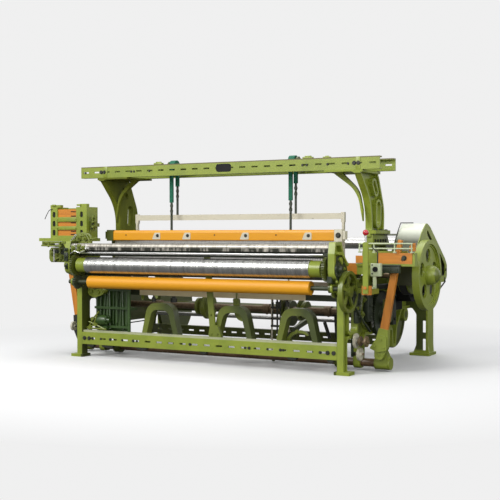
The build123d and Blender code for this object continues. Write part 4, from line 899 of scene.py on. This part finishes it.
def make_stays():
    form = Form()
    shape = [(0.063, 0.186), (0.105, 0.186), (0.057, 0.700), (0.015, 0.700)]
    form.plate(shape, 0.018, 0.032)
    foot = round_corners([(0.050, 0.1865), (0.150, 0.1865), (0.118, 0.262), (0.062, 0.262)], 0.012)
    form.plate(foot, 0.014, 0.036)
    for x, z in ((0.074, 0.205), (0.118, 0.205), (0.066, 0.330), (0.052, 0.480)):
        form.bolt((x, 0.014, z), FORWARD, 0.007)
    form.dress("centre_stays", "dim")

    form = Form()
    form.bar((-WALL_INSIDE, 0.032, 0.566), (WALL_INSIDE, 0.042, 0.592))
    for x in (-0.80, -0.40, -0.10, 0.25, 0.60, 0.85):
        form.bar((x, 0.018, 0.570), (x + 0.030, 0.034, 0.598))
    form.soften(0.0015)
    form.dress("roller_bar", "dark")

    form = Form()
    form.bar((-WALL_INSIDE, -0.052, 0.700), (WALL_INSIDE, -0.046, 0.7405))
    for x in (-0.86, -0.43, 0.01, 0.45, 0.87):
        form.bar((x, -0.058, 0.706), (x + 0.036, -0.050, 0.7405))
    form.soften(0.001)
    form.dress("breast_apron", "dark")

    form = Form()
    curve = [(0.560, 0.150), (0.560, 0.186), (0.600, 0.232), (0.655, 0.248), (0.700, 0.240),
             (0.722, 0.215), (0.706, 0.215), (0.690, 0.226), (0.650, 0.230), (0.612, 0.215),
             (0.585, 0.180), (0.585, 0.150)]
    form.plate(round_corners(curve, 0.016), 0.110, 0.128)
    hook = [(0.176, 0.432), (0.222, 0.432), (0.226, 0.350), (0.268, 0.350), (0.282, 0.322),
            (0.250, 0.282), (0.212, 0.296), (0.190, 0.330)]
    form.plate(round_corners(hook, 0.012), 0.112, 0.130)
    for x, z in ((0.242, 0.318), (0.198, 0.410), (0.640, 0.239)):
        form.bolt((x, 0.112, z), FORWARD, 0.010)
    form.bar((0.555, 0.112, 0.164), (0.600, 0.128, 0.186))
    form.rod((0.20, 0.121, 0.42), (0.20, 0.121, 0.470), 0.006, sides=10)
    form.dress("treadle_hooks", "dim")


def make_rods():
    form = Form()
    for x, low, high, radius in ((0.429, 0.200, 0.430, 0.006), (0.396, 0.252, 0.425, 0.004),
                                 (0.450, 0.250, 0.430, 0.004), (-0.368, 0.385, 0.430, 0.012),
                                 (-0.534, 0.380, 0.430, 0.007), (0.500, 0.380, 0.430, 0.008)):
        form.rod((x, 0.252, low), (x, 0.252, high), radius, sides=12)
        form.rod((x, 0.252, high - 0.050), (x, 0.252, high - 0.020), radius * 1.9, sides=6)
    for z in (0.252, 0.300, 0.372):
        form.rod((0.384, 0.252, z), (0.458, 0.252, z), 0.0075, sides=10)
    form.dress("tie_hangers", "iron", "sley")

    form = Form()
    form.rod((-0.746, 0.250, 0.224), (-0.540, 0.250, 0.258), 0.004, sides=10)
    form.rod((0.650, 0.700, 0.140), (0.640, 0.700, 0.320), 0.010, sides=12)
    form.rod((0.560, 0.700, 0.250), (0.600, 0.700, 0.140), 0.012, sides=12)
    form.bar((0.520, 0.690, 0.290), (0.650, 0.712, 0.312))
    form.dress("loose_rods", "iron")


def make_wheels():
    axle_y, axle_z = BOTTOM_AXLE
    form = Form()
    form.disc((-0.262, axle_y, axle_z), 0.030, 0.088)
    form.disc((-0.335, axle_y, axle_z), 0.022, 0.060)
    form.disc((0.498, axle_y, axle_z), 0.026, 0.060)
    form.wheel(BOTTOM_AXLE, -0.300, -0.284, 0.072, 30, 0.023)
    form.wheel(BOTTOM_AXLE, 0.455, 0.470, 0.070, 28, 0.023)
    form.dress("shaft_wheels", "dim", "bottom")

    form = Form()
    for x in (-0.70, 0.180, 0.640):
        form.rod((x, axle_y, axle_z), (x + 0.045, axle_y, axle_z), 0.034, sides=24)
        form.bolt((x + 0.022, axle_y, axle_z - 0.033), (0, 0, -1), 0.007)
    form.dress("shaft_collars", "rust", "bottom")


def make_left_works():
    form = Form()
    for i in range(13):
        x = -0.905 + 0.021 * i
        deep = 0.098 + 0.008 * (i * 5 % 4)
        low = 0.190 + 0.012 * (i * 3 % 5)
        form.rod((x, deep, low), (x + 0.006 * (i * 7 % 5 - 2), deep + 0.01, 0.468),
                 0.0056 + 0.0018 * (i * 4 % 3), sides=10)
    for z in (0.200, 0.330, 0.455):
        form.bar((-0.922, 0.090, z), (-0.640, 0.102, z + 0.016))
    form.bar((-0.930, 0.126, 0.176), (-0.665, 0.132, 0.452))
    form.bar((-0.588, 0.018, 0.186), (-0.572, 0.032, 0.566))
    form.bar((-0.640, 0.100, 0.330), (-0.572, 0.108, 0.346))
    form.bar((-0.588, 0.030, 0.330), (-0.572, 0.108, 0.346))
    form.dress("lease_rods", "deep")

    form = Form()
    profile = ((-0.052, 0.0), (-0.052, 0.021), (-0.040, 0.032), (0.0, 0.039), (0.034, 0.032),
               (0.044, 0.018), (0.062, 0.015), (0.062, 0.0))
    form.turned([(along - 0.842, radius) for along, radius in profile], (0.078, 0.252))
    for i in range(6):
        y = 0.078 + 0.024 * math.cos(math.tau * i / 6)
        z = 0.252 + 0.024 * math.sin(math.tau * i / 6)
        form.rod((-0.886, y, z), (-0.796, y, z), 0.008, sides=10)
    form.bar((-0.900, 0.068, 0.186), (-0.800, 0.100, 0.214))
    form.dress("left_gearbox", "deep")

    form = Form()
    for start, bend, end in (((-0.945, 0.190), (-0.905, 0.262), (-0.852, 0.312)),
                             ((-0.938, 0.240), (-0.880, 0.222), (-0.802, 0.192)),
                             ((-0.955, 0.200), (-0.900, 0.215), (-0.868, 0.290))):
        form.path([(x, 0.048, z) for x, z in (start, bend, end)], 0.0055)
    for x, z in ((-0.905, 0.262), (-0.880, 0.222), (-0.930, 0.200)):
        form.rod((x, 0.040, z), (x, 0.056, z), 0.013, sides=16)
    form.rod((-0.957, 0.048, 0.196), (-0.790, 0.048, 0.192), 0.006, sides=10)
    form.dress("left_levers", "dim")


class LOOM_OT_inner_works(bpy.types.Operator):
    """Stays behind the rollers, rods, wheels and the gearbox between the walls"""

    bl_idname = "loom.inner_works"
    bl_label = "Inner Works"

    def execute(self, context):
        make_stays()
        make_rods()
        make_wheels()
        make_left_works()
        return {"FINISHED"}


# Magazine

class LOOM_OT_magazine_fittings(bpy.types.Operator):
    """Bars across the magazine, the shuttle slots in painted shade, wires and the lever beside it
    """

    bl_idname = "loom.magazine_fittings"
    bl_label = "Magazine Fittings"

    def execute(self, context):
        form = Form()
        for low, high in ((0.936, 0.968), (0.879, 0.904)):
            form.plate(box_outline(-1.232, -1.052, low, high, 0.005), 0.056, 0.0665)
        for x in (-1.268, -1.046):
            form.bar((x, 0.050, 1.046), (x + 0.030, 0.060, 1.058))
        form.soften(0.0014)
        for x in (-1.222, -1.062):
            for z in (0.952, 0.891):
                form.bolt((x, 0.056, z), FORWARD, 0.005)
        form.dress("magazine_bars", "enamel")

        # Thin black sheets paint the shade inside the shuttle slots.
        form = Form()
        for z in (1.006, 0.975, 0.928, 0.868, 0.846):
            slot = box_outline(-1.112, -1.066, z - 0.0035, z + 0.0035, 0.003)
            form.plate(slot, 0.0671, 0.0676)
        for x in (-1.257, -1.012):
            for z in (0.858, 0.922, 0.986):
                slot = box_outline(x - 0.011, x + 0.011, z - 0.018, z + 0.018, 0.009)
                form.plate(slot, 0.0655, 0.0665)
        form.dress("shuttle_slot_shade", "black")

        bent_wire("magazine_wire", [(-1.262, 0.066, 1.020), (-1.285, 0.050, 1.030),
                                    (-1.310, 0.044, 0.985), (-1.326, 0.044, 0.955)], 0.0026, "iron")

        form = Form()
        lever = round_corners([(-0.966, 0.878), (-0.936, 0.870), (-0.918, 0.900), (-0.916, 0.968),
                               (-0.934, 0.984), (-0.950, 0.950), (-0.966, 0.940)], 0.010)
        form.plate(lever, 0.096, 0.106)
        form.bar((-0.967, 0.106, 0.900), (-0.945, 0.180, 0.925))
        for z in (0.900, 0.935, 0.966):
            form.rod((-0.930, 0.076, z), (-0.930, 0.126, z), 0.008, sides=14)
        form.rod((-0.958, 0.090, 0.850), (-0.928, 0.090, 0.980), 0.004, sides=8)
        form.soften(0.0012, 1)
        form.dress("feeler_lever", "dim")
        spring = Form()
        spring.path(helix((-0.944, 0.084, 0.880), (-0.932, 0.084, 0.944), 0.008, 8, 8), 0.0016, 5)
        spring.dress("feeler_spring", "iron")
        return {"FINISHED"}


# Left end

def make_box_castings():
    form = Form()
    front = 0.176
    for x in (-1.372, -1.292, -1.216, -1.150):
        form.bar((x - 0.008, front - 0.014, 0.652), (x + 0.008, front + 0.004, 0.742))
    form.bar((-1.380, front - 0.006, 0.736), (-1.050, front + 0.004, 0.752))
    form.bar((-1.380, front - 0.004, 0.645), (-1.130, front + 0.004, 0.664))
    curve = round_corners([(-1.378, 0.664), (-1.346, 0.646), (-1.296, 0.676), (-1.240, 0.660),
                           (-1.205, 0.690), (-1.150, 0.720), (-1.150, 0.738), (-1.240, 0.700),
                           (-1.330, 0.712), (-1.378, 0.738)], 0.012)
    form.soften(0.0016)
    form.plate(curve, front - 0.024, front - 0.014)
    pads = [(x, z, 0.0125) for x, z in ((-1.352, 0.706), (-1.262, 0.684), (-1.196, 0.712),
                                        (-1.306, 0.700))]
    form.studs(front - 0.036, front - 0.010, pads, 0.56, 16)
    form.dress("left_box_castings", "dim", "sley")

    form = Form()
    form.plate(box_outline(-1.376, -1.142, 0.652, 0.746, 0.010), front - 0.002, front + 0.004)
    for x, low in ((-1.331, 0.668), (-1.224, 0.662), (-1.272, 0.690)):
        form.bar((x - 0.020, front - 0.009, low), (x + 0.020, front, low + 0.030))
    form.soften(0.0012, 1)
    form.dress("left_box_panel", "dark", "sley")

    form = Form()
    form.bar((-1.340, front - 0.010, 0.754), (-1.278, front + 0.020, 0.776))
    form.rod((-1.340, front - 0.018, 0.700), (-1.225, front - 0.018, 0.694), 0.006, sides=12)
    for x, low in ((-1.331, 0.649), (-1.224, 0.640)):
        form.bar((x - 0.006, front - 0.030, low), (x + 0.006, front - 0.022, 0.742))
    form.soften(0.001, 1)
    form.dress("left_box_steel", "steel", "sley")

    form = Form()
    under = 0.797
    for x, low in ((-1.330, 0.768), (-1.280, 0.760), (-1.180, 0.752), (-1.110, 0.764)):
        form.bar((x, 0.020, low), (x + 0.022, 0.070, under))
        form.rod((x + 0.011, 0.014, low - 0.004), (x + 0.011, 0.014, under), 0.007, sides=12)
    form.bar((-1.330, 0.018, 0.782), (-1.120, 0.030, under))
    form.rod((-1.330, 0.012, 0.768), (-1.150, 0.012, 0.764), 0.006, sides=10)
    form.dress("shelf_brackets", "dim")


def make_temple_cluster():
    form = Form()
    y0 = -0.036
    ring = round_corners([(-1.035, 0.790), (-0.995, 0.846), (-0.930, 0.862), (-0.866, 0.850),
                          (-0.842, 0.800), (-0.858, 0.800), (-0.880, 0.836), (-0.935, 0.844),
                          (-0.985, 0.830), (-1.015, 0.790)], 0.014)
    form.plate(ring, y0, y0 + 0.012)
    for x0, x1, z0, z1 in ((-0.985, -0.880, 0.786, 0.806), (-0.958, -0.938, 0.800, 0.846),
                           (-0.905, -0.885, 0.798, 0.842), (-1.030, -0.950, 0.770, 0.790)):
        form.bar((x0, y0 - 0.006, z0), (x1, y0 + 0.006, z1))
    form.soften(0.002)
    for x, z, radius in ((-0.948, 0.822, 0.020), (-0.896, 0.818, 0.016), (-0.990, 0.800, 0.014)):
        form.disc((x, y0 - 0.008, z), 0.018, radius, (0, 1, 0), 24)
        form.bolt((x, y0 - 0.026, z), FORWARD, radius * 0.4)
    form.bar((-0.958, y0, 0.7855), (-0.880, -0.031, 0.7895))
    form.rod((-0.880, y0 - 0.002, 0.812), (-0.800, y0 - 0.002, 0.822), 0.005, sides=10)
    for x0, x1, z0, z1 in ((-0.978, -0.966, 0.806, 0.832), (-0.926, -0.914, 0.806, 0.846),
                           (-0.872, -0.846, 0.786, 0.800)):
        form.bar((x0, y0 - 0.012, z0), (x1, y0 + 0.006, z1))
    form.path([(-0.966, y0 - 0.014, 0.798), (-0.930, y0 - 0.014, 0.836),
               (-0.884, y0 - 0.014, 0.842), (-0.856, y0 - 0.014, 0.800)], 0.0045)
    form.dress("temple_castings", "dim")

    form = Form()
    spring = helix((-1.022, y0 - 0.018, 0.790), (-0.968, y0 - 0.018, 0.846), 0.007, 9, 8)
    form.path(spring, 0.0015, 5)
    form.rod((-0.960, -0.124, 0.752), (-0.800, -0.124, 0.752), 0.0055, sides=12)
    for x in (-0.93, -0.88, -0.83):
        form.rod((x, -0.128, 0.744), (x, -0.118, 0.782), 0.004, sides=8)
    form.dress("temple_steel", "steel")


def make_beam_end():
    form = Form()
    face = -0.1205
    for x0, x1, z0, z1 in ((-0.950, -0.912, 0.716, 0.772), (-0.896, -0.872, 0.732, 0.780),
                           (-0.930, -0.840, 0.724, 0.738), (-0.856, -0.838, 0.738, 0.770)):
        form.bar((x0, face - 0.011, z0), (x1, face + 0.002, z1))
    form.soften(0.0016)
    pads = ((-0.931, 0.752, 0.012), (-0.884, 0.764, 0.009), (-0.884, 0.742, 0.009),
            (-0.848, 0.757, 0.008))
    form.studs(face - 0.022, face - 0.006, pads, 0.55)
    form.dress("beam_end_castings", "dim")

    form = Form()
    form.path([(-0.948, face - 0.018, 0.716), (-0.916, face - 0.018, 0.734),
               (-0.872, face - 0.018, 0.722), (-0.830, face - 0.018, 0.736)], 0.0035)
    form.path(helix((-0.904, face - 0.017, 0.742), (-0.904, face - 0.017, 0.778), 0.005, 7, 8),
              0.0012, 5)
    form.dress("beam_end_wires", "steel")

    form = Form()
    nose = -0.134
    form.bar((-1.000, nose - 0.014, 0.664), (-0.968, nose + 0.002, 0.724))
    form.bar((-0.992, nose - 0.010, 0.610), (-0.974, nose + 0.002, 0.650))
    form.soften(0.0025)
    pads = ((-0.984, 0.742, 0.013), (-0.984, 0.694, 0.010), (-0.984, 0.630, 0.008))
    form.studs(nose - 0.020, nose + 0.002, pads, 0.55)
    form.dress("nose_casting", "dark")


def make_roller_end():
    form = Form()
    form.turned([(-1.031, 0.0), (-1.031, 0.018), (-1.024, 0.026), (-1.004, 0.026)], ROLLER_AXLE)
    form.dress("left_roller_collar", "dim", "take_up")

    form = Form()
    arm = round_corners([(-0.958, 0.478), (-0.905, 0.462), (-0.850, 0.474), (-0.800, 0.460),
                         (-0.806, 0.442), (-0.860, 0.420), (-0.905, 0.404), (-0.958, 0.430)], 0.016)
    form.plate(arm, 0.062, 0.082)
    for x, height in ((-0.930, 0.452), (-0.870, 0.446), (-0.825, 0.452)):
        form.disc((x, 0.058, height), 0.014, 0.016, (0, 1, 0), 20)
    form.dress("left_arm", "enamel")


def make_low_wheel():
    form = Form()
    form.disc((-1.152, 0.150, 0.193), 0.014, 0.033)
    form.dress("left_pulley", "cream")
    form = Form()
    form.rod((-1.170, 0.150, 0.193), (-1.0025, 0.150, 0.193), 0.008, sides=14)
    form.bar((-1.012, 0.130, 0.172), (-1.003, 0.170, 0.256))
    form.dress("left_pulley_pin", "iron")


class LOOM_OT_left_end(bpy.types.Operator):
    """Castings round the left shuttle box and the left end of the rollers"""

    bl_idname = "loom.left_end"
    bl_label = "Left End"

    def execute(self, context):
        make_box_castings()
        make_temple_cluster()
        make_beam_end()
        make_roller_end()
        make_low_wheel()
        return {"FINISHED"}


# Right end

def make_box_trim():
    form = Form()
    front = 0.168
    for z in (0.790, 0.760):
        form.rod((1.030, front, z), (1.376, front, z), 0.0048, sides=12)
    for x in (1.036, 1.130, 1.262, 1.370):
        form.rod((x, front, 0.735), (x, front, 0.792), 0.0042, sides=10)
        form.bar((x - 0.008, front - 0.005, 0.734), (x + 0.008, 0.184, 0.742))
    form.dress("box_rails", "pale", "sley")

    form = Form()
    end = [(1.346, 0.7445), (1.350, 0.776), (1.364, 0.792), (1.384, 0.794), (1.384, 0.7445)]
    form.plate(end, 0.186, 0.206)
    mouth = [(1.010, 0.672), (1.066, 0.672), (1.066, 0.716), (1.010, 0.716)]
    form.plate(mouth, 0.170, 0.1805)
    form.dress("box_end_blocks", "timber", "sley")

    form = Form()
    form.bar((1.176, 0.170, 0.612), (1.292, 0.198, 0.661))
    form.bar((1.166, 0.164, 0.652), (1.300, 0.180, 0.664))
    form.soften(0.002)
    for x in (1.190, 1.232, 1.276):
        form.bolt((x, 0.170, 0.632), FORWARD, 0.007)
    form.bolt((1.318, 0.181, 0.704), FORWARD, 0.013)
    form.dress("box_stop", "dark", "sley")


def make_lever_box():
    form = Form()
    form.bar((1.156, 0.046, 0.596), (1.220, 0.078, 0.674))
    form.soften(0.004, 3)
    form.bar((1.170, 0.052, 0.530), (1.188, 0.068, 0.598))
    form.bar((1.160, 0.0125, 0.524), (1.186, 0.068, 0.5345))
    form.dress("switch_box", "pale")
    form = Form()
    form.rod((1.188, 0.036, 0.638), (1.188, 0.048, 0.638), 0.0155, sides=24)
    form.rod((1.188, 0.028, 0.638), (1.188, 0.038, 0.638), 0.010, sides=24)
    form.dress("switch_knob", "black")
    form = Form()
    for z in (0.612, 0.664):
        form.bolt((1.168, 0.046, z), FORWARD, 0.004)
    bend = [(1.196, 0.062, 0.672), (1.196, 0.062, 0.740), (1.150, 0.100, 0.764)]
    form.path(bend, 0.004)
    form.dress("switch_fittings", "iron")


def make_wall_works():
    form = Form()
    axle_y, axle_z = BOTTOM_AXLE
    form.wheel(BOTTOM_AXLE, 1.014, 1.040, 0.147, 60, 0.026)
    form.disc((1.051, axle_y, axle_z), 0.022, 0.070)
    form.dress("right_bottom_wheel", "dark", "bottom")

    form = Form()
    out = WALL_OUTSIDE
    lever = round_corners([(0.246, 0.590), (0.272, 0.590), (0.296, 0.440), (0.258, 0.356),
                           (0.316, 0.276), (0.296, 0.256), (0.226, 0.340), (0.262, 0.440)], 0.014)
    form.side_plate(lever, out, out + 0.012)
    tie = round_corners([(0.110, 0.560), (0.400, 0.520), (0.400, 0.498), (0.110, 0.530)], 0.008)
    form.side_plate(tie, out + 0.012, out + 0.020)
    for place, z, radius in ((0.262, 0.572, 0.020), (0.276, 0.440, 0.017), (0.246, 0.350, 0.022),
                             (0.305, 0.268, 0.018), (0.125, 0.545, 0.014)):
        form.disc((out + 0.016, place, z), 0.016, radius, sides=20)
        form.bolt((out + 0.030, place, z), OUTWARD, 0.007)
    form.dress("brake_lever", "stand")

    # The gear cases are near black: partly their own dark iron, partly painted shade of the mass
    # between the leg and the flywheel.
    form = Form()
    for y0, z0, y1, z1, deep in ((0.085, 0.405, 0.190, 0.500, 0.030),
                                 (0.300, 0.300, 0.372, 0.520, 0.040),
                                 (0.420, 0.494, 0.640, 0.526, 0.046),
                                 (0.150, 0.300, 0.225, 0.380, 0.020),
                                 (0.700, 0.250, 0.760, 0.470, 0.050)):
        form.bar((out, y0, z0), (out + deep, y1, z1))
    form.soften(0.005, 3)
    for y, z, deep in ((0.105, 0.480, 0.030), (0.170, 0.425, 0.030), (0.318, 0.500, 0.040),
                       (0.355, 0.500, 0.040), (0.335, 0.330, 0.040), (0.335, 0.400, 0.040),
                       (0.185, 0.340, 0.020), (0.730, 0.440, 0.050), (0.730, 0.290, 0.050)):
        form.bolt((out + deep, y, z), OUTWARD, 0.010)
    form.path([(out + 0.020, 0.13, 0.400), (out + 0.034, 0.24, 0.300), (out + 0.034, 0.34, 0.236)],
              0.007)
    form.dress("gear_cases", "dark")

    form = Form()
    coil = helix((out + 0.026, 0.200, 0.385), (out + 0.026, 0.232, 0.495), 0.008, 14, 10)
    form.path(coil, 0.0013, 5)
    coil = helix((out + 0.028, 0.395, 0.260), (out + 0.028, 0.372, 0.330), 0.007, 10, 10)
    form.path(coil, 0.0013, 5)
    form.dress("brake_springs", "steel")


def make_nose_works():
    form = Form()
    form.wheel(ROLLER_AXLE, 1.005, 1.014, 0.046, 24, 0.012)
    form.turned([(1.012, 0.020), (1.026, 0.020), (1.034, 0.012), (1.034, 0.0)], ROLLER_AXLE)
    form.dress("ratchet_wheel", "dark", "take_up")

    form = Form()
    pawl = round_corners([(-0.066, 0.712), (-0.040, 0.704), (-0.034, 0.676), (-0.046, 0.664),
                          (-0.058, 0.680), (-0.078, 0.694)], 0.006)
    form.side_plate(pawl, WALL_OUTSIDE, 1.0145)
    rib = round_corners([(-0.118, 0.742), (-0.030, 0.742), (0.060, 0.668), (0.060, 0.650),
                         (-0.036, 0.724), (-0.118, 0.724)], 0.010)
    form.side_plate(rib, WALL_OUTSIDE, 1.010)
    for place, height in ((-0.052, 0.700), (-0.100, 0.733), (-0.020, 0.716), (0.040, 0.668),
                          (-0.104, 0.566), (0.010, 0.640)):
        form.bolt((WALL_OUTSIDE if height < 0.66 else 1.010, place, height), OUTWARD, 0.008)
    form.dress("pawl", "enamel")

    # A thin dark sheet on the wall paints the shade of the nose's pocket.
    form = Form()
    pocket = round_corners([(-0.112, 0.578), (-0.112, 0.716), (-0.040, 0.716), (0.050, 0.645),
                            (0.060, 0.560), (0.010, 0.540), (-0.060, 0.560)], 0.020)
    form.side_plate(pocket, 1.0031, 1.0037)
    form.dress("nose_pocket_shade", "dark")

    form = Form()
    base = round_corners([(0.438, 0.776), (0.438, 0.846), (0.692, 0.846), (0.740, 0.776)], 0.008)
    form.side_plate(base, WALL_OUTSIDE, 1.014)
    form.dress("bow_base", "enamel")
    form = Form()
    for i in range(5):
        form.bolt((1.014, 0.478 + 0.046 * i, 0.806), OUTWARD, 0.009)
    form.dress("bow_base_bolts", "iron")

    form = Form()
    for x, deep, z0, z1 in ((0.972, -0.118, 0.560, 0.600), (0.940, -0.105, 0.720, 0.738)):
        form.bar((x - 0.020, deep - 0.010, z0), (x + 0.010, deep + 0.012, z1))
    form.dress("nose_irons", "dark")


def make_low_works():
    form = Form()
    form.disc((1.022, 0.150, 0.196), 0.010, 0.046)
    form.disc((1.034, 0.182, 0.112), 0.016, 0.040)
    form.dress("right_pulleys", "cream")
    form = Form()
    form.rod((WALL_OUTSIDE, 0.150, 0.190), (1.108, 0.150, 0.190), 0.008, sides=14)
    form.rod((WALL_OUTSIDE, 0.182, 0.112), (1.062, 0.182, 0.112), 0.008, sides=14)
    for x, radius in ((1.052, 0.030), (1.090, 0.033)):
        form.disc((x, 0.150, 0.194), 0.012, radius)
    form.dress("right_spools", "rust")
    form = Form()
    form.bar((0.990, 0.144, 0.096), (WALL_OUTSIDE, 0.156, 0.212))
    form.bar((0.990, 0.144, 0.100), (WALL_OUTSIDE, 0.190, 0.124))
    form.dress("pulley_bracket", "dark")

    form = Form()
    fan = [(1.090, 0.150), (1.150, 0.232), (1.196, 0.226), (1.200, 0.140), (1.140, 0.128)]
    form.plate(round_corners(fan, 0.008), 0.196, 0.2095)
    for x, z in ((1.165, 0.206), (1.122, 0.158), (1.182, 0.158)):
        form.bolt((x, 0.196, z), FORWARD, 0.008)
    form.dress("stick_fan", "enamel", "right_stick")


def make_guard_trim():
    form = Form()
    form.path([(1.296, 1.020, 0.560), (1.306, 1.010, 0.530), (1.306, 0.900, 0.488)], 0.005)
    form.path([(1.140, 0.470, 0.766), (1.140, 0.515, 0.822), (1.140, 0.562, 0.874),
               (1.140, 0.606, 0.920), (1.220, 0.620, 0.920)], 0.003)
    form.bolt((1.300, 0.480, 0.640), OUTWARD, 0.006)
    form.bolt((1.300, 1.040, 0.610), OUTWARD, 0.008)
    form.dress("guard_stay", "iron")
    form = Form()
    form.turned([(1.4235, 0.0), (1.4235, 0.018), (1.416, 0.034), (1.404, 0.046), (1.388, 0.053),
                 (1.366, 0.056)], (0.540, 0.590))
    form.dress("flywheel_boss", "stand", "crank")


class LOOM_OT_right_end(bpy.types.Operator):
    """Levers, wheels, springs and boxes outside the right wall"""

    bl_idname = "loom.right_end"
    bl_label = "Right End"

    def execute(self, context):
        make_box_trim()
        make_lever_box()
        make_wall_works()
        make_nose_works()
        make_low_works()
        make_guard_trim()
        return {"FINISHED"}


# Stage

FLOOR_TONE = (0.86, 0.86, 0.86, 1.0)
BOUNCE_TONE = (0.14, 0.14, 0.14, 1.0)
PALE, DIM = (0.87, 0.87, 0.87, 1.0), (0.95, 0.97, 1.0, 1.0)


def stage_floor():
    board = Board("pale_floor")
    near = board.node("ShaderNodeBsdfDiffuse", None, {"Color": FLOOR_TONE})
    far = board.node("ShaderNodeEmission", None, {"Color": PALE, "Strength": 1.0})
    bounce = board.node("ShaderNodeBsdfDiffuse", None, {"Color": BOUNCE_TONE})
    away = board.node("ShaderNodeVectorMath", {"operation": "LENGTH"}, {0: board.place}, "Value")
    seen = board.node("ShaderNodeMixShader", None, {0: away.past(1.3, 0.55), 1: near, 2: far})
    rays = board.node("ShaderNodeLightPath", None, None, "Is Camera Ray")
    both = board.node("ShaderNodeMixShader", None, {0: rays, 1: bounce, 2: seen})
    board.node("ShaderNodeOutputMaterial", None, {"Surface": both})
    form = Form()
    bmesh.ops.create_grid(form.mesh, x_segments=1, y_segments=1, size=60.0)
    floor = add_object("floor", form.to_data("floor"))
    floor.data.materials.append(board.owner)


def studio_world():
    """Dim light all round, which cameras, mirrors and glass see as pale."""
    board = Board("studio", "worlds")
    camera, glossy, glass = (board.node("ShaderNodeLightPath", None, None, f"Is {kind} Ray")
                             for kind in ("Camera", "Glossy", "Transmission"))
    shown = board.node("ShaderNodeMath", {"operation": "MAXIMUM"}, {0: camera, 1: glossy})
    shown = board.node("ShaderNodeMath", {"operation": "MAXIMUM"}, {0: shown, 1: glass})
    dim = board.node("ShaderNodeBackground", None, {"Color": DIM, "Strength": 0.42})
    pale = board.node("ShaderNodeBackground", None, {"Color": PALE, "Strength": 1.0})
    mix = board.node("ShaderNodeMixShader", None, {0: shown, 1: dim, 2: pale})
    board.node("ShaderNodeOutputWorld", None, {"Surface": mix})
    bpy.context.scene.world = board.owner


LAMPS = (
    ("key", (-2.4, -5.4, 4.2), 3.0, 300.0),
    ("front", (1.6, -6.2, 1.5), 3.0, 80.0),
    ("fill", (5.4, -2.8, 2.6), 3.0, 110.0),
    ("top", (0.0, 1.0, 5.6), 4.0, 120.0),
)


def studio_lamps():
    middle = Vector((0.0, 0.0, 0.6))
    for name, place, size, power in LAMPS:
        light = bpy.data.lights.new(name, "AREA")
        light.energy = power
        light.size = size
        lamp = add_object(name, light)
        aim = (middle - Vector(place)).to_track_quat("-Z", "Y")
        lamp.location = place
        lamp.rotation_euler = aim.to_euler()


def photo_camera(view):
    data = bpy.data.cameras.new("photo_view")
    data.lens = view.lens
    data.sensor_width = 36.0
    camera = add_object("photo_view", data)
    camera.location = view.place
    camera.rotation_euler = (math.pi / 2 - view.tilt, 0.0, view.turn)
    bpy.context.scene.camera = camera


class LOOM_OT_stage(bpy.types.Operator):
    """Floor, studio light and camera"""

    bl_idname = "loom.stage"
    bl_label = "Stage"

    def execute(self, context):
        stage_floor()
        studio_world()
        studio_lamps()
        photo_camera(context.scene.loom_view)
        context.scene.view_settings.view_transform = "Standard"
        return {"FINISHED"}


# Add-on

class LOOM_PT_panel(bpy.types.Panel):
    """Steps that dress the loom"""

    bl_idname = "LOOM_PT_panel"
    bl_label = "Power Loom"
    bl_space_type = "VIEW_3D"
    bl_region_type = "UI"
    bl_category = "Loom"

    def draw(self, context):
        column = self.layout.column()
        for name in ("enamel", "lacquer", "timber", "cream", "webbing", "knob"):
            column.prop(context.scene.loom_colours, name)
        for step in STEPS:
            column.operator(step.bl_idname)


STEPS = (LOOM_OT_stage, LOOM_OT_finish_frame, LOOM_OT_beam_fittings, LOOM_OT_straps,
         LOOM_OT_cap_fittings, LOOM_OT_rail_fittings, LOOM_OT_inner_works,
         LOOM_OT_magazine_fittings, LOOM_OT_left_end, LOOM_OT_right_end)
CLASSES = (LoomColours, LoomView) + STEPS + (LOOM_PT_panel,)


def register():
    for each in CLASSES:
        bpy.utils.register_class(each)
    bpy.types.Scene.loom_colours = bpy.props.PointerProperty(type=LoomColours)
    bpy.types.Scene.loom_view = bpy.props.PointerProperty(type=LoomView)


def unregister():
    del bpy.types.Scene.loom_view
    del bpy.types.Scene.loom_colours
    for each in reversed(CLASSES):
        bpy.utils.unregister_class(each)


def main():
    register()
    for step in STEPS:
        group, name = step.bl_idname.split(".")
        getattr(getattr(bpy.ops, group), name)()


if __name__ == "__main__":
    main()
